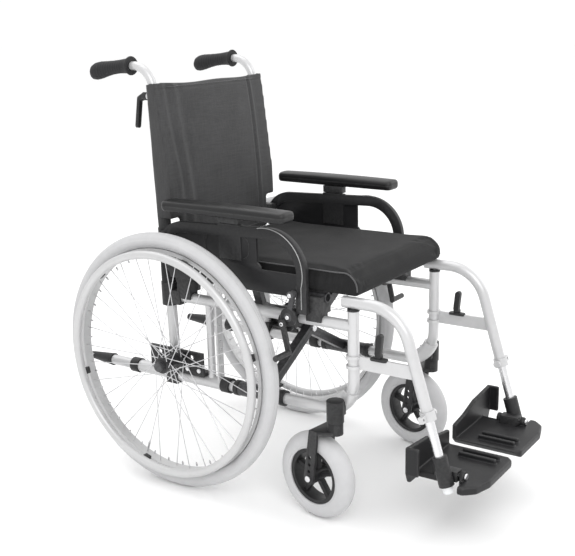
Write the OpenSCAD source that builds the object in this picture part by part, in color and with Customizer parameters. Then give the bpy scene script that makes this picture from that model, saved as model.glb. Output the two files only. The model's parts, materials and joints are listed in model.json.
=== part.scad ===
// Folding manual wheelchair: cross-braced tube frame, quick-release rear wheels,
// swivelling front casters, swing-away footrests, flip-back arms, push handles.
// X is the sitter's left, -Y is forwards, Z is up. The floor is at Z = 0.

/* [Overall] */
// Half the distance between the two side frames
frame_x = 189; // [175:1:215]
// From the rear axle to the front of the footplates
front_reach = 751; // [720:1:790]
// Height of the lower frame tubes
lower_z = 247; // [235:1:260]
// Height of the upper frame tubes
upper_z = 444; // [430:1:450]

/* [Rear wheels] */
// Outside diameter of the rear tyres
wheel_d = 610; // [580:1:640]
// Width of the rear tyres
tyre_w = 36; // [28:1:40]
// Rear wheel centre plane, out from the side frame
wheel_out = 70.5; // [68:0.5:80]
// Outside diameter of the push rims
handrim_d = 540; // [500:1:560]
// Thickness of the push rim tube
handrim_tube = 19; // [16:0.5:22]
// Push rim centre plane, out from the wheel's centre plane
handrim_out = 34; // [31:0.5:38]
// Spokes in each rear wheel
spoke_count = 36; // [20:4:36]
// Diameter of the quick-release axle
axle_d = 12; // [10:0.5:13]

/* [Casters] */
// Outside diameter of the caster tyres
caster_d = 200; // [170:1:204]
// Width of the caster tyres
caster_w = 44; // [34:1:46]
// Distance that the caster wheel trails behind its stem
caster_trail = 52; // [44:1:56]
// Stem of the caster, out from the side frame
caster_out = 38; // [37:0.5:44]
// Angle that both casters stand at
caster_swing = -8.5; // [-12:0.5:12]

/* [Frame tubes] */
// Outside diameter of the frame tubes
tube_d = 25; // [22:0.5:27]
// Wall of the frame tubes
tube_wall = 2.5; // [1.5:0.5:3]
// Bend radius at the foot of the front upright
front_bend = 80; // [70:1:90]
// Diameter of the push handle tubes that slide in the back canes
handle_tube_d = 19.6; // [17:0.2:19.6]

/* [Back] */
// Height of the top of the back upholstery
back_top = 928; // [880:1:940]
// Height of the push grips
grip_z = 966; // [955:1:990]

/* [Seat] */
// Thickness of the seat cushion
cushion_h = 52; // [40:1:60]
// Depth of the seat cushion
cushion_depth = 472; // [440:1:476]
// Height of the seat rail tubes
rail_z = 494; // [488:1:496]
// Diameter of the seat rail tubes
rail_d = 22; // [18:0.5:23]

/* [Arms] */
// Height of the top of the arm pads
pad_top = 683; // [676:1:700]
// Length of the arm pads
pad_length = 340; // [300:1:350]
// Width of the arm pads
pad_w = 50; // [40:1:52]

/* [Footrests] */
// Angle of the footrest tubes from upright
hanger_angle = 17.3; // [16:0.1:19]
// Width of each footplate
plate_w = 149; // [140:0.5:149.5]
// Depth of each footplate, front to back
plate_depth = 153; // [140:1:155]

/* [Fits] */
// Radial clearance of a shaft that turns or slides in its bore
run_gap = 0.06; // [0.03:0.01:0.09]
// Clearance between pieces that are fixed together
seat_gap = 0.2; // [0.15:0.05:0.3]
// Clearance between pieces that pass each other
pass_gap = 1; // [0.6:0.1:1.5]

/* [Hidden] */
$fn = 64;

// Colours
silver = "#c9ccd2";
bright = "#dfe2e6";
black = "#26272a";
rubber_grey = "#b4b3bb";
fabric = "#3c3d40";
lever_grey = "#55585c";

// Places, measured from the rear axle along Y
axle_z = wheel_d / 2;
tube_r = tube_d / 2;
bore_r = tube_r - tube_wall;
front_y = -454;
front_top = 478;
lower_rear_y = 246;
tail_len = 74;
tail_reach = lower_rear_y + tail_len;
axle_y = (front_reach - tail_reach) / 2;
upper_rear_y = 27;
sleeve_from = -101;
sleeve_to = 155;
sleeve_r = 15;
caster_y = -430;
eps = 0.01;

// Cross brace
brace_angle = 29.5;
pivot_z = lower_z + frame_x * tan(brace_angle);
brace_y = -208;
bar_t = 20;
bar_h = 22;
bar_lift = 29;
bearing_len = 56;
bolt_r = 5;
rail_x = frame_x - 11;
rail_front = -385;
rail_rear = 25;

// Back canes
cane_x = frame_x - 3;
cane_tilt = 1.72;
cane_foot_y = 43.8;
cane_foot_z = 266;
cane_top = 912;
cane_bore_r = handle_tube_d / 2 + run_gap;
function cane_y(z) = cane_foot_y + (z - cane_foot_z) * tan(cane_tilt);
handle_bend = 55;
lever_z = 900;

// Arms
arm_in = frame_x + 17;
arm_t = 13;
arm_foot = 496;
arm_pivot_y = 27;
arm_pivot_z = 588;
pad_x = frame_x + 38;
pad_h = 26;
pad_front = 12 - pad_length;
post_y = -159;
post_w = 42;
post_t = 6;

// Hangers
hanger_z = front_top + 4.5 + pass_gap / 2 + tube_r;
hanger_r = 92;
hanger_rear = -430;
hanger_end_z = 272;
hanger_slope_y = -563.1;
hanger_tangent = hanger_r * tan((90 - hanger_angle) / 2);
hanger_slope_len = (hanger_z - hanger_end_z) / cos(hanger_angle) - hanger_tangent;
bend_swell = 0.15;
foot_tube_r = bore_r - run_gap;
function slope_y(z) = hanger_slope_y - (hanger_z - z) * tan(hanger_angle);

// Footplates
flip_x = frame_x - 24;
flip_z = 152;
flip_y = slope_y(flip_z);
plate_in = flip_x - plate_w;
plate_front = -front_reach;
plate_rear = plate_front + plate_depth;

// Wheel locks
brake_x = arm_in + arm_t + pass_gap;
brake_y = -303;
brake_z = upper_z - 6;
lock_y = -313;
lock_z = upper_z + 8;

// Put a shape made for the left side on either side of the chair
module on_side(s) {
    translate([0, axle_y, 0]) mirror([s < 0 ? 1 : 0, 0, 0]) children();
}

// A rod along each axis, from one end
module rod_y(r, y0, y1) {
    translate([0, y0, 0]) rotate([-90, 0, 0]) cylinder(r = r, h = y1 - y0);
}
module rod_x(r, x0, x1) {
    translate([x0, 0, 0]) rotate([0, 90, 0]) cylinder(r = r, h = x1 - x0);
}
module rod_z(r, z0, z1) {
    translate([0, 0, z0]) cylinder(r = r, h = z1 - z0);
}

// A bent rod in the plane of Y and Z: arc of radius big about the X axis
module bend_x(r, big, from, sweep) {
    rotate([0, 90, 0]) rotate([0, 0, from]) rotate_extrude(angle = sweep) translate([big, 0]) circle(r = r);
}

// The frame's tube runs, solid, with radius r
module frame_runs(r, over) {
    translate([frame_x, 0, 0]) {
        translate([0, 0, lower_z]) rod_y(r, front_y + front_bend, lower_rear_y + over);
        translate([0, front_y + front_bend, lower_z + front_bend]) bend_x(r, front_bend, -90, 90);
        translate([0, front_y, 0]) rod_z(r, lower_z + front_bend, front_top + over);
    }
}

module side_frame() {
    color(silver) difference() {
        union() {
            frame_runs(tube_r, 0);
            translate([frame_x, 0, lower_z]) rod_y(sleeve_r, sleeve_from, sleeve_to);
            translate([frame_x, 0, upper_z]) rod_y(tube_r, front_y, upper_rear_y);
            translate([frame_x, -68, 0]) rod_z(9, lower_z, upper_z);
            // Perforated strap behind the wheel lock
            translate([frame_x - 10, -96, lower_z + 8]) cube([20, 5, upper_z - lower_z - 12]);
        }
        frame_runs(bore_r, eps);
        for (i = [0:6]) translate([frame_x, 0, lower_z + 45 + i * 20]) rod_y(3.5, -100, -85);
    }
}

// Black collars, caps, rail saddles, cane sockets and the wheel lock's body
module frame_fittings() {
    color(black) translate([frame_x, 0, 0]) {
        for (y = [sleeve_from - 24, sleeve_to]) translate([0, 0, lower_z]) collar(y, y + 24 - seat_gap);
        tail_cap();
        top_cap();
        for (y = [-383, -26]) rail_saddle(y);
        for (y = [brace_y - bearing_len - 12 - pass_gap, brace_y + bearing_len + pass_gap])
            translate([0, 0, lower_z]) collar(y - seat_gap, y + 12);
        cane_socket();
        wheel_lock_body();
        cane_foot();
        arm_pivot_lug();
    }
}

module collar(y0, y1) {
    difference() {
        rod_y(tube_r + 5.5, y0 + seat_gap, y1);
        rod_y(tube_r + seat_gap, y0 - 1, y1 + 1);
    }
}

module tail_cap() {
    translate([0, 0, lower_z]) {
        rod_y(bore_r - seat_gap, lower_rear_y - 22, lower_rear_y + 10);
        translate([0, lower_rear_y + seat_gap, 0]) rotate([-90, 0, 0])
            cylinder(r1 = tube_r + 3, r2 = tube_r - 3.5, h = tail_len - seat_gap);
    }
}

module top_cap() {
    translate([0, front_y, 0]) {
        rod_z(tube_r + 0.8, front_top + seat_gap, front_top + 4.5);
        rod_z(bore_r - seat_gap, front_top - 18, front_top + 2);
    }
}

// A saddle on the upper tube that the seat rail drops into
module rail_saddle(y) {
    difference() {
        translate([-24, y, upper_z - 3]) cube([24 + arm_in - frame_x - 1.5, 38, rail_z - upper_z + 8]);
        translate([0, 0, upper_z]) rod_y(tube_r + seat_gap, y - 1, y + 39);
        translate([-14, y - 1, upper_z - tube_r]) cube([60, 40, tube_r]);
        translate([rail_x - frame_x, 0, rail_z]) rod_y(rail_d / 2 + seat_gap, y - 1, y + 39);
        translate([-60, y - 1, rail_z]) cube([60 + rail_x - frame_x + rail_d / 2 + seat_gap, 40, 60]);
        translate([-60, y - 1, upper_z - 30]) cube([48 - seat_gap, 40, 40 + tube_r / 2]);
    }
}

// Black socket that joins the upper tube to the back cane
module cane_socket() {
    difference() {
        union() {
            translate([cane_x - frame_x, cane_y(upper_z), 0]) rod_z(20.5, upper_z - 23, upper_z + 32);
            translate([cane_x - frame_x, cane_y(upper_z + 58), 0]) rod_z(17.5, upper_z + 30, upper_z + 88);
            translate([-tube_r - 4, upper_rear_y - 22, upper_z - tube_r - 4])
                cube([tube_d + 8, 24, tube_d + 8]);
        }
        cane_line(tube_r + seat_gap, upper_z - 40, upper_z + 120, cane_x - frame_x);
        translate([0, 0, upper_z]) rod_y(tube_r + seat_gap, upper_rear_y - 40, upper_rear_y + seat_gap);
    }
}

// Bracket on the back cane with the pin that the arm turns on
module arm_pivot_lug() {
    lug_out = arm_in - frame_x - pass_gap;
    pin_out = arm_in - frame_x + arm_t + seat_gap;
    difference() {
        union() {
            cane_line(tube_r + 4, arm_pivot_z - 16, arm_pivot_z + 16, cane_x - frame_x);
            translate([-8, arm_pivot_y - 11, arm_pivot_z - 11])
                cube([lug_out + 8, cane_y(arm_pivot_z) - arm_pivot_y + 8, 22]);
        }
        cane_line(tube_r + seat_gap, arm_pivot_z - 20, arm_pivot_z + 20, cane_x - frame_x);
    }
    translate([0, arm_pivot_y, arm_pivot_z]) {
        rod_x(5, lug_out - 8, pin_out + 1);
        rod_x(8, pin_out, pin_out + 3.5);
    }
}

// A rod along the tilted line of the back cane
module cane_line(r, z0, z1, x) {
    translate([x, cane_y(z0), z0]) rotate([-cane_tilt, 0, 0]) cylinder(r = r, h = (z1 - z0) / cos(cane_tilt));
}

// Block that carries the foot of the back cane on the lower tube
module cane_foot() {
    difference() {
        translate([-17, cane_foot_y - 17, lower_z - 19]) cube([34, 34, 50]);
        translate([0, 0, lower_z]) rod_y(sleeve_r + seat_gap, cane_foot_y - 40, cane_foot_y + 40);
        cane_line(tube_r + seat_gap, cane_foot_z - seat_gap, cane_foot_z + 60, cane_x - frame_x);
    }
}

// Clamp and body of the wheel lock
module wheel_lock_body() {
    difference() {
        union() {
            translate([0, 0, upper_z]) rod_y(tube_r + 4.5, brake_y - 20, brake_y + 20);
            translate([0, brake_y - 20, brake_z - 12]) cube([brake_x - frame_x - 5, 40, 24]);
            translate([0, brake_y, brake_z]) rod_x(21, brake_x - frame_x - 7, brake_x - frame_x - 1);
            translate([0, brake_y, brake_z]) rod_x(4, brake_x - frame_x - 2, brake_x - frame_x + 17);
            translate([0, lock_y, lock_z]) rod_x(4, brake_x - frame_x - 2, brake_x - frame_x + 8);
        }
        translate([0, 0, upper_z]) rod_y(tube_r + seat_gap, brake_y - 40, brake_y + 40);
    }
}

module brake_lever() {
    color(lever_grey) translate([0, lock_y, lock_z]) difference() {
        union() {
            rod_x(9.5, brake_x, brake_x + 7);
            translate([brake_x + 1, 0, 0]) rotate([14, 0, 0]) translate([0, -6, 0]) cube([5, 12, 52]);
            rotate([14, 0, 0]) translate([0, 0, 54]) rod_x(8.5, brake_x, brake_x + 16);
        }
        rod_x(4 + run_gap, brake_x - 5, brake_x + 20);
    }
}

// Arm and cross bar that press on the tyre
module brake_shoe() {
    color(black) translate([0, brake_y, brake_z]) difference() {
        union() {
            rod_x(9.5, brake_x + 9, brake_x + 15);
            translate([brake_x + 9, 0, 0]) rotate([167.5, 0, 0]) translate([0, -6, 0]) cube([6, 12, 62]);
            rotate([167.5, 0, 0]) translate([0, 0, 64]) rod_x(6.5, brake_x + 9, brake_x + 62);
        }
        rod_x(4 + run_gap, brake_x, brake_x + 30);
    }
}

// Black plate that carries the axle, with a row of spare axle holes
module axle_plate() {
    plate_x = frame_x + sleeve_r + seat_gap;
    bolt_ys = [-47, -13];
    color(black) difference() {
        union() {
            translate([plate_x, -58, lower_z + 15]) cube([6, 160, 58]);
            translate([frame_x - 8, -58, lower_z + sleeve_r + seat_gap]) cube([24, 100 - 20, 8]);
        }
        for (y = [-24, 0, 24, 72])
            translate([0, y, axle_z]) rod_x(axle_d / 2 + seat_gap / 2, plate_x - 5, plate_x + 12);
        for (y = bolt_ys) translate([0, y, axle_z - 28]) rod_x(3 + seat_gap, plate_x - 5, plate_x + 12);
        translate([frame_x, -68, 0]) rod_z(9 + seat_gap, lower_z, upper_z);
        cane_line(tube_r + 1, lower_z, axle_z + 60, cane_x);
        translate([frame_x - 18, cane_foot_y - 18, lower_z - 19]) cube([36 - 0.9, 36, 51]);
    }
    color(bright) for (y = bolt_ys) translate([0, y, axle_z - 28]) {
        rod_x(3, plate_x + 1, plate_x + 6.2);
        rod_x(5.5, plate_x + 6.2, plate_x + 10);
    }
}

module caster_housing() {
    stem_x = frame_x + caster_out;
    color(black) difference() {
        union() {
            translate([stem_x, caster_y, 0]) rod_z(19, lower_z - 9, lower_z + 39);
            translate([frame_x, front_y + front_bend, lower_z + front_bend])
                bend_x(tube_r + 5, front_bend, -68, 42);
            translate([frame_x + tube_r + 1, caster_y - 12, lower_z + 2])
                cube([caster_out - tube_r, 32, 30]);
        }
        translate([frame_x, front_y + front_bend, lower_z + front_bend])
            bend_x(tube_r + seat_gap, front_bend, -100, 120);
        translate([stem_x, caster_y, 0]) rod_z(7 + run_gap, lower_z - 20, lower_z + 32);
    }
}

// Children stand in the caster's own frame, with the stem on the Z axis
module caster_frame(s) {
    translate([s * (frame_x + caster_out), caster_y + axle_y, 0]) rotate([0, 0, caster_swing]) children();
}

module caster_fork(s) {
    crown_z = caster_d + 10;
    leg_x = caster_w / 2 + 4;
    color(black) caster_frame(s) difference() {
        union() {
            rod_z(7, crown_z, lower_z + 30);
            rod_z(17, crown_z, lower_z - 9 - pass_gap);
            hull() {
                translate([0, 2, crown_z]) cylinder(r = 18, h = 9, $fn = 32);
                for (m = [-1, 1]) translate([m * (leg_x + 1) - 3, caster_trail - 26, crown_z - 2])
                    cube([6, 22, 8]);
            }
            for (m = [-1, 1]) translate([m > 0 ? leg_x : -leg_x - 6, 0, 0]) fork_leg(crown_z);
        }
        translate([0, caster_trail, caster_d / 2]) rod_x(4 + seat_gap, -60, 60);
        for (i = [1:3]) translate([0, caster_trail - i * 1.5, caster_d / 2 + i * 17]) rod_x(4, -60, 60);
    }
    color(bright) caster_frame(s) translate([0, caster_trail, caster_d / 2]) {
        rod_x(4, -leg_x - 8, leg_x + 8);
        for (m = [-1, 1]) rod_x(7, m > 0 ? leg_x + 6.3 : -leg_x - 10.3, m > 0 ? leg_x + 10.3 : -leg_x - 6.3);
    }
}

// One leg of the fork, 6 thick, from the crown down to the caster's axle
module fork_leg(crown_z) {
    rotate([90, 0, 90]) linear_extrude(6) union() {
        translate([caster_trail, caster_d / 2]) circle(r = 14);
        polygon([
            [caster_trail - 27, crown_z + 6], [caster_trail - 4, crown_z + 6],
            [caster_trail + 13.9, caster_d / 2 + 2], [caster_trail - 13.9, caster_d / 2 + 2]
        ]);
    }
}

module caster_hub(s) {
    outer = caster_d / 2 - 36;
    color(black) caster_frame(s) translate([0, caster_trail, caster_d / 2]) difference() {
        union() {
            difference() {
                rod_x(outer, -caster_w / 2 + 5, caster_w / 2 - 5);
                rod_x(outer - 9, -caster_w, caster_w);
            }
            rod_x(15, -caster_w / 2 + 1, caster_w / 2 - 1);
            for (a = [0:72:359]) rotate([a, 0, 0]) translate([-7, -5, 12]) cube([14, 10, outer - 18]);
        }
        rod_x(4 + run_gap, -caster_w, caster_w);
    }
}

module caster_tyre(s) {
    inner = caster_d / 2 - 36 + seat_gap;
    round_r = caster_w / 2 - 1;
    color(rubber_grey) caster_frame(s) translate([0, caster_trail, caster_d / 2])
        rotate([0, 90, 0]) rotate_extrude($fn = 96) union() {
            translate([inner, -caster_w / 2 + 3]) square([caster_d / 2 - round_r - inner, caster_w - 6]);
            translate([caster_d / 2 - round_r, 0]) intersection() {
                circle(r = round_r);
                translate([-round_r / 2, -caster_w / 2 + 3]) square([round_r * 2, caster_w - 6]);
            }
        }
}

// Children stand at the centre of the rear wheel
module wheel_frame() {
    translate([frame_x + wheel_out, 0, axle_z]) children();
}
rim_out = wheel_d / 2 - tyre_w + 1.5;
rim_in = rim_out - 9;
flange_r = 19;
flange_x = 24;

module wheel_tyre() {
    color(rubber_grey) wheel_frame() rotate([0, 90, 0]) difference() {
        rotate_extrude($fn = 128) translate([wheel_d / 2 - tyre_w / 2, 0]) circle(d = tyre_w);
        translate([0, 0, -tyre_w]) cylinder(r = rim_out + seat_gap, h = tyre_w * 2, $fn = 128);
    }
}

module wheel_rim() {
    color(bright) wheel_frame() difference() {
        rod_x(rim_out, -12, 12);
        rod_x(rim_in, -20, 20);
        rod_x(rim_out + 5, 12, 30);
    }
}

module wheel_spokes() {
    color(bright) wheel_frame() for (i = [0:spoke_count - 1]) spoke(i);
}

// Spokes cross in pairs from the two flanges of the hub
module spoke(i) {
    start_r = flange_r + 1.3;
    side = i % 2 == 0 ? 1 : -1;
    lean = floor(i / 2) % 2 == 0 ? 1 : -1;
    rim_a = i * 360 / spoke_count;
    hub_a = rim_a + lean * 62;
    hub_p = [side * flange_x + lean * 3, start_r * cos(hub_a), start_r * sin(hub_a)];
    rim_p = [side * 3, (rim_in - 0.6) * cos(rim_a), (rim_in - 0.6) * sin(rim_a)];
    d = rim_p - hub_p;
    translate(hub_p) rotate([0, acos(d[2] / norm(d)), atan2(d[1], d[0])]) cylinder(d = 2, h = norm(d));
}

module wheel_hub() {
    color(bright) wheel_frame() difference() {
        union() {
            rod_x(13, -42, 32);
            for (x = [-flange_x, flange_x]) rod_x(flange_r, x - 4.5, x + 4.5);
        }
        rod_x(axle_d / 2 + run_gap, -60, 60);
    }
}

// Quick-release axle with its black release knob
module axle_pin() {
    plate_x = frame_x + sleeve_r + seat_gap;
    color(silver) translate([0, 0, axle_z]) {
        rod_x(axle_d / 2, plate_x - 3, frame_x + wheel_out + 33);
        rod_x(11, frame_x + wheel_out + 32 + pass_gap, frame_x + wheel_out + 41);
    }
}

module handrim() {
    tab_from = 16.6;
    ring = handrim_d / 2 - handrim_tube / 2;
    color(bright) wheel_frame() {
        translate([handrim_out, 0, 0]) rotate([0, 90, 0]) rotate_extrude($fn = 128)
            translate([ring, 0]) circle(d = handrim_tube);
        // Tabs that bolt the push rim to the wheel's rim
        for (a = [tab_from:60:359]) rotate([a, 0, 0]) difference() {
            translate([12 + seat_gap, -8, ring - 5]) cube([handrim_out - 14, 16, 8]);
            translate([handrim_out, 0, 0]) rotate([0, 90, 0]) rotate_extrude($fn = 128)
                translate([ring, 0]) circle(d = handrim_tube + 2 * seat_gap);
        }
    }
}

module back_cane() {
    color(silver) difference() {
        union() {
            cane_line(tube_r, cane_foot_z, cane_top, cane_x);
            // Boss for the clamp lever's screw
            translate([cane_x, cane_y(lever_z), lever_z]) rod_y(8, 0, tube_r + 5);
        }
        cane_line(cane_bore_r, cane_foot_z + 200, cane_top + 5, cane_x);
        translate([cane_x, cane_y(lever_z), lever_z]) rod_y(3.2, 0, tube_r + 8);
    }
}

// Bent push handle tube: up the cane, then back into the grip
module push_tube() {
    r = handle_tube_d / 2;
    foot = 700;
    bend_z = grip_z - handle_bend;
    color(silver) translate([cane_x, cane_y(bend_z), bend_z]) {
        rotate([-cane_tilt, 0, 0]) rod_z(r, foot - bend_z, 0);
        translate([0, handle_bend, 0]) bend_x(r, handle_bend, 180, 90 - cane_tilt - 1);
    }
    color(silver) translate([cane_x, cane_y(bend_z) + handle_bend, grip_z]) rod_y(r, -2, 95);
}

module push_grip() {
    bend_z = grip_z - handle_bend;
    start = cane_y(bend_z) + handle_bend + 4;
    color(black) translate([cane_x, start, grip_z]) difference() {
        rotate([-90, 0, 0]) rotate_extrude() polygon([
            [0, 0], [20, 0], [21, 4], [18, 9], [15.5, 22], [14.5, 45], [15.5, 68],
            [18.5, 90], [19.5, 104], [17, 116], [10, 122], [6, 123], [0, 123]
        ]);
        rod_y(handle_tube_d / 2 + seat_gap, -1, 92);
    }
}

// Clamp lever that fixes the push handle's height
module cane_lever() {
    color(black) translate([cane_x, cane_y(lever_z) + tube_r, lever_z]) {
        rod_y(3, handle_tube_d / 2 + 0.4 - tube_r, 8);
        rod_y(9, 5 + seat_gap, 17);
        hull() {
            translate([0, 11, 0]) rotate([-90, 0, 0]) cylinder(r = 8, h = 7, $fn = 32);
            translate([0, 26, -6]) rotate([-90, 0, 0]) cylinder(r = 6, h = 7, $fn = 32);
        }
        hull() {
            translate([0, 26, -6]) rotate([-90, 0, 0]) cylinder(r = 6, h = 7, $fn = 32);
            translate([0, 36, -66]) rotate([-90, 0, 0]) cylinder(r = 5.5, h = 8, $fn = 32);
        }
    }
}

// Outline of the arm panel, seen from its side, as a filled shape
module arm_outline(inset) {
    intersection() {
        union() {
            translate([-262, 545]) circle(r = 94 - inset);
            translate([-24, 560]) circle(r = 70 - inset);
            polygon([
                [-262, 639 - inset], [-24, 630 - inset], [38 - inset, 584], [20 - inset, arm_foot],
                [-356 + inset, arm_foot], [-356 + inset, 545]
            ]);
        }
        translate([-370, arm_foot]) square([440, 160]);
    }
}

module arm_panel() {
    arm_top = 638;
    leg_foot = upper_z + tube_r + 5;
    color(black) translate([arm_in, 0, 0]) difference() {
        union() {
            translate([arm_t / 2 - 3, 0, 0]) rotate([90, 0, 90]) linear_extrude(6) arm_outline(0);
            // Arched tube round the top and the front
            rotate([90, 0, 90]) linear_extrude(arm_t) difference() {
                arm_outline(0);
                arm_outline(24);
                translate([-330, 480]) square([380, 60]);
            }
            // Front leg that stands on the upper tube
            translate([0, -356, leg_foot]) cube([arm_t, 26, 60]);
            // Housing of the pad's post
            translate([0, post_y - 30, 560]) cube([arm_t, 60, arm_top - 560]);
            // Ear for the arm's pivot
            translate([0, arm_pivot_y, arm_pivot_z]) rod_x(14, 0, arm_t);
        }
        // Window behind the arch
        translate([-1, 0, 0]) rotate([90, 0, 90]) linear_extrude(arm_t + 2) difference() {
            intersection() {
                arm_outline(24);
                translate([-340, 545]) square([112, 100]);
            }
            translate([-217, 540]) circle(r = 22);
        }
        translate([arm_t / 2 - post_t / 2 - pass_gap / 2, post_y - post_w / 2 - pass_gap / 2, 566])
            cube([post_t + pass_gap, post_w + pass_gap, 120]);
        translate([0, arm_pivot_y, arm_pivot_z]) rod_x(5 + run_gap, -5, arm_t + 5);
    }
}

// Pad, its block and the post that slides in the panel
module arm_pad() {
    color(black) {
        translate([0, 0, pad_top - pad_h]) hull() {
            for (x = [pad_x - pad_w / 2 + 8, pad_x + pad_w / 2 - 8]) for (y = [pad_front + 12, 0])
                translate([x, y, 0]) {
                    translate([0, 0, 4]) cylinder(r = 8, h = pad_h - 9, $fn = 24);
                    cylinder(r = 5, h = pad_h, $fn = 24);
                }
        }
        translate([arm_in - 1, post_y - 28, 639 + pass_gap]) cube([arm_t + 6, 56, pad_top - pad_h - 639 - pass_gap - seat_gap]);
        translate([arm_in + arm_t / 2 - post_t / 2, post_y - post_w / 2, 572])
            cube([post_t, post_w, 639 + pass_gap - 572 - seat_gap]);
    }
}

module hanger() {
    color(silver) translate([frame_x, 0, 0]) {
        difference() {
            union() {
                hanger_runs();
                // Plate back to the hinge on the front upright
                translate([-3, slope_y(367) + tube_r - 6, 352])
                    cube([6, front_y - tube_r - 1 - slope_y(367) - tube_r + 7, 29]);
                // Hinge clips round the front upright
                for (z = [352, 374]) translate([0, front_y, z]) rod_z(tube_r + 4, 0, 7);
            }
            hanger_bores();
            translate([0, front_y, 340]) rod_z(tube_r + run_gap, 0, 60);
        }
        // Pin that hangs the top of the footrest on the frame
        translate([0, front_y, 0]) rod_z(5, front_top + 5, hanger_z - tube_r + 1);
    }
    color(bright) translate([frame_x, slope_y(hanger_end_z + 12), hanger_end_z + 12])
        rotate([-hanger_angle, 0, 0]) difference() {
            union() {
                rod_z(tube_r + 3.5, -14, 6);
                translate([tube_r - 2, -5, -11]) cube([24, 10, 14]);
                translate([0, 0, -4]) rod_x(5, -tube_r - 8, -tube_r);
                translate([0, 0, -4]) rod_x(8.5, -tube_r - 12, -tube_r - 7);
            }
            rod_z(tube_r + seat_gap, -30, 30);
            translate([tube_r + 16, 0, -4]) rod_y(3, -10, 10);
        }
}

// The hanger's tube runs, solid: level, bend, then the slope
module hanger_runs() {
    bend_y = hanger_slope_y + hanger_tangent;
    translate([0, 0, hanger_z]) rod_y(tube_r, bend_y - 1, hanger_rear);
    translate([0, bend_y, hanger_z - hanger_r])
        bend_x(tube_r + bend_swell, hanger_r, 180, 90 - hanger_angle);
    translate([0, slope_y(hanger_end_z), hanger_end_z]) rotate([-hanger_angle, 0, 0])
        rod_z(tube_r, 0, hanger_slope_len + 1);
}

// Bores from both open ends: the slope takes the foot tube
module hanger_bores() {
    translate([0, slope_y(hanger_end_z), hanger_end_z]) rotate([-hanger_angle, 0, 0])
        rod_z(bore_r, -1, hanger_slope_len - 8);
    translate([0, 0, hanger_z]) rod_y(bore_r, hanger_rear - 30, hanger_rear + 1);
}

module hanger_lever() {
    lever_y = -515;
    color(black) translate([frame_x, lever_y, 388]) {
        rod_x(7, -6, 6);
        translate([0, 0, 20]) rotate([6, 0, 0]) hull() {
            for (z = [-14, 22]) translate([-6, 0, z]) rod_x(6.5, 0, 12);
        }
    }
}

module foot_tube() {
    tube_foot = 120;
    color(bright) translate([frame_x, slope_y(tube_foot), tube_foot]) rotate([-hanger_angle, 0, 0])
        rod_z(foot_tube_r, 0, (hanger_end_z - tube_foot) / cos(hanger_angle) + 110);
}

// Black sleeve at the foot of the tube, with the footplate's hinge block
module foot_bracket() {
    color(black) difference() {
        union() {
            translate([frame_x, slope_y(140), 140]) rotate([-hanger_angle, 0, 0]) rod_z(16.5, -6, 58);
            translate([flip_x - 12, flip_y - 22, flip_z - 12]) cube([frame_x - flip_x, 44, 22]);
        }
        translate([frame_x, slope_y(140), 140]) rotate([-hanger_angle, 0, 0])
            rod_z(foot_tube_r + seat_gap, -60, 80);
        translate([flip_x, 0, flip_z]) rod_y(4 + seat_gap, flip_y - 40, flip_y + 40);
    }
    color(bright) translate([flip_x, 0, flip_z]) {
        rod_y(4, flip_y - 36, flip_y + 34);
        rod_y(7, flip_y - 40, flip_y - 36);
    }
}

// Moulded footplate with a heel wall and two ribs
module footplate() {
    knuckle = 12;
    color(black) difference() {
        union() {
            footplate_floor();
            heel_wall();
            for (y = [flip_y - 24 - knuckle + 2, flip_y + 24]) translate([flip_x, 0, flip_z])
                rod_y(10, y, y + knuckle - 4);
            for (x = [plate_in + 22, plate_in + 44])
                translate([x, plate_front + 22, flip_z - 12]) cube([7, plate_depth - 68, 14]);
        }
        translate([flip_x - 18, flip_y - 22 - pass_gap, flip_z - 60]) cube([80, 44 + 2 * pass_gap, 120]);
        translate([flip_x, 0, flip_z]) rod_y(4 + run_gap, flip_y - 80, flip_y + 60);
    }
}

// Floor of the plate: corners cut at the front, thicker towards the middle
module footplate_floor() {
    corner = 34;
    plate_lobe = flip_x + 38;
    intersection() {
        translate([0, 0, flip_z - 24]) linear_extrude(16) polygon([
            [plate_in, plate_rear], [plate_in, plate_front + 12], [plate_in + 12, plate_front],
            [flip_x - 24, plate_front], [flip_x + 18, plate_front + 12], [plate_lobe, plate_front + corner],
            [plate_lobe, flip_y - 34], [flip_x + 4, flip_y - 34], [flip_x + 4, plate_rear]
        ]);
        // Section across the plate, thin at its inner edge
        translate([0, plate_rear, flip_z]) rotate([90, 0, 0]) linear_extrude(plate_depth) polygon([
            [plate_in, -8], [plate_in, -10], [plate_in + 14, -24], [plate_lobe, -24], [plate_lobe, -8]
        ]);
    }
}

module heel_wall() {
    outer = flip_x + 46;
    translate([0, plate_rear + 8, 0]) rotate([90, 0, 0]) linear_extrude(8) polygon([
        [plate_in + 14, flip_z - 24], [plate_in, flip_z - 10], [plate_in, flip_z + 24],
        [plate_in + 50, flip_z + 32],
        [plate_in + 105, flip_z + 48], [outer, flip_z + 56], [outer, flip_z - 4], [outer - 8, flip_z - 24]
    ]);
    translate([outer - 6, plate_rear - 22, flip_z - 4]) cube([6, 24, 60]);
}

module seat_rail() {
    color(black) translate([rail_x, 0, rail_z]) difference() {
        rod_y(rail_d / 2, rail_front, rail_rear);
        rod_y(rail_d / 2 - 2, rail_front - 1, rail_rear + 1);
    }
}

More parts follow.
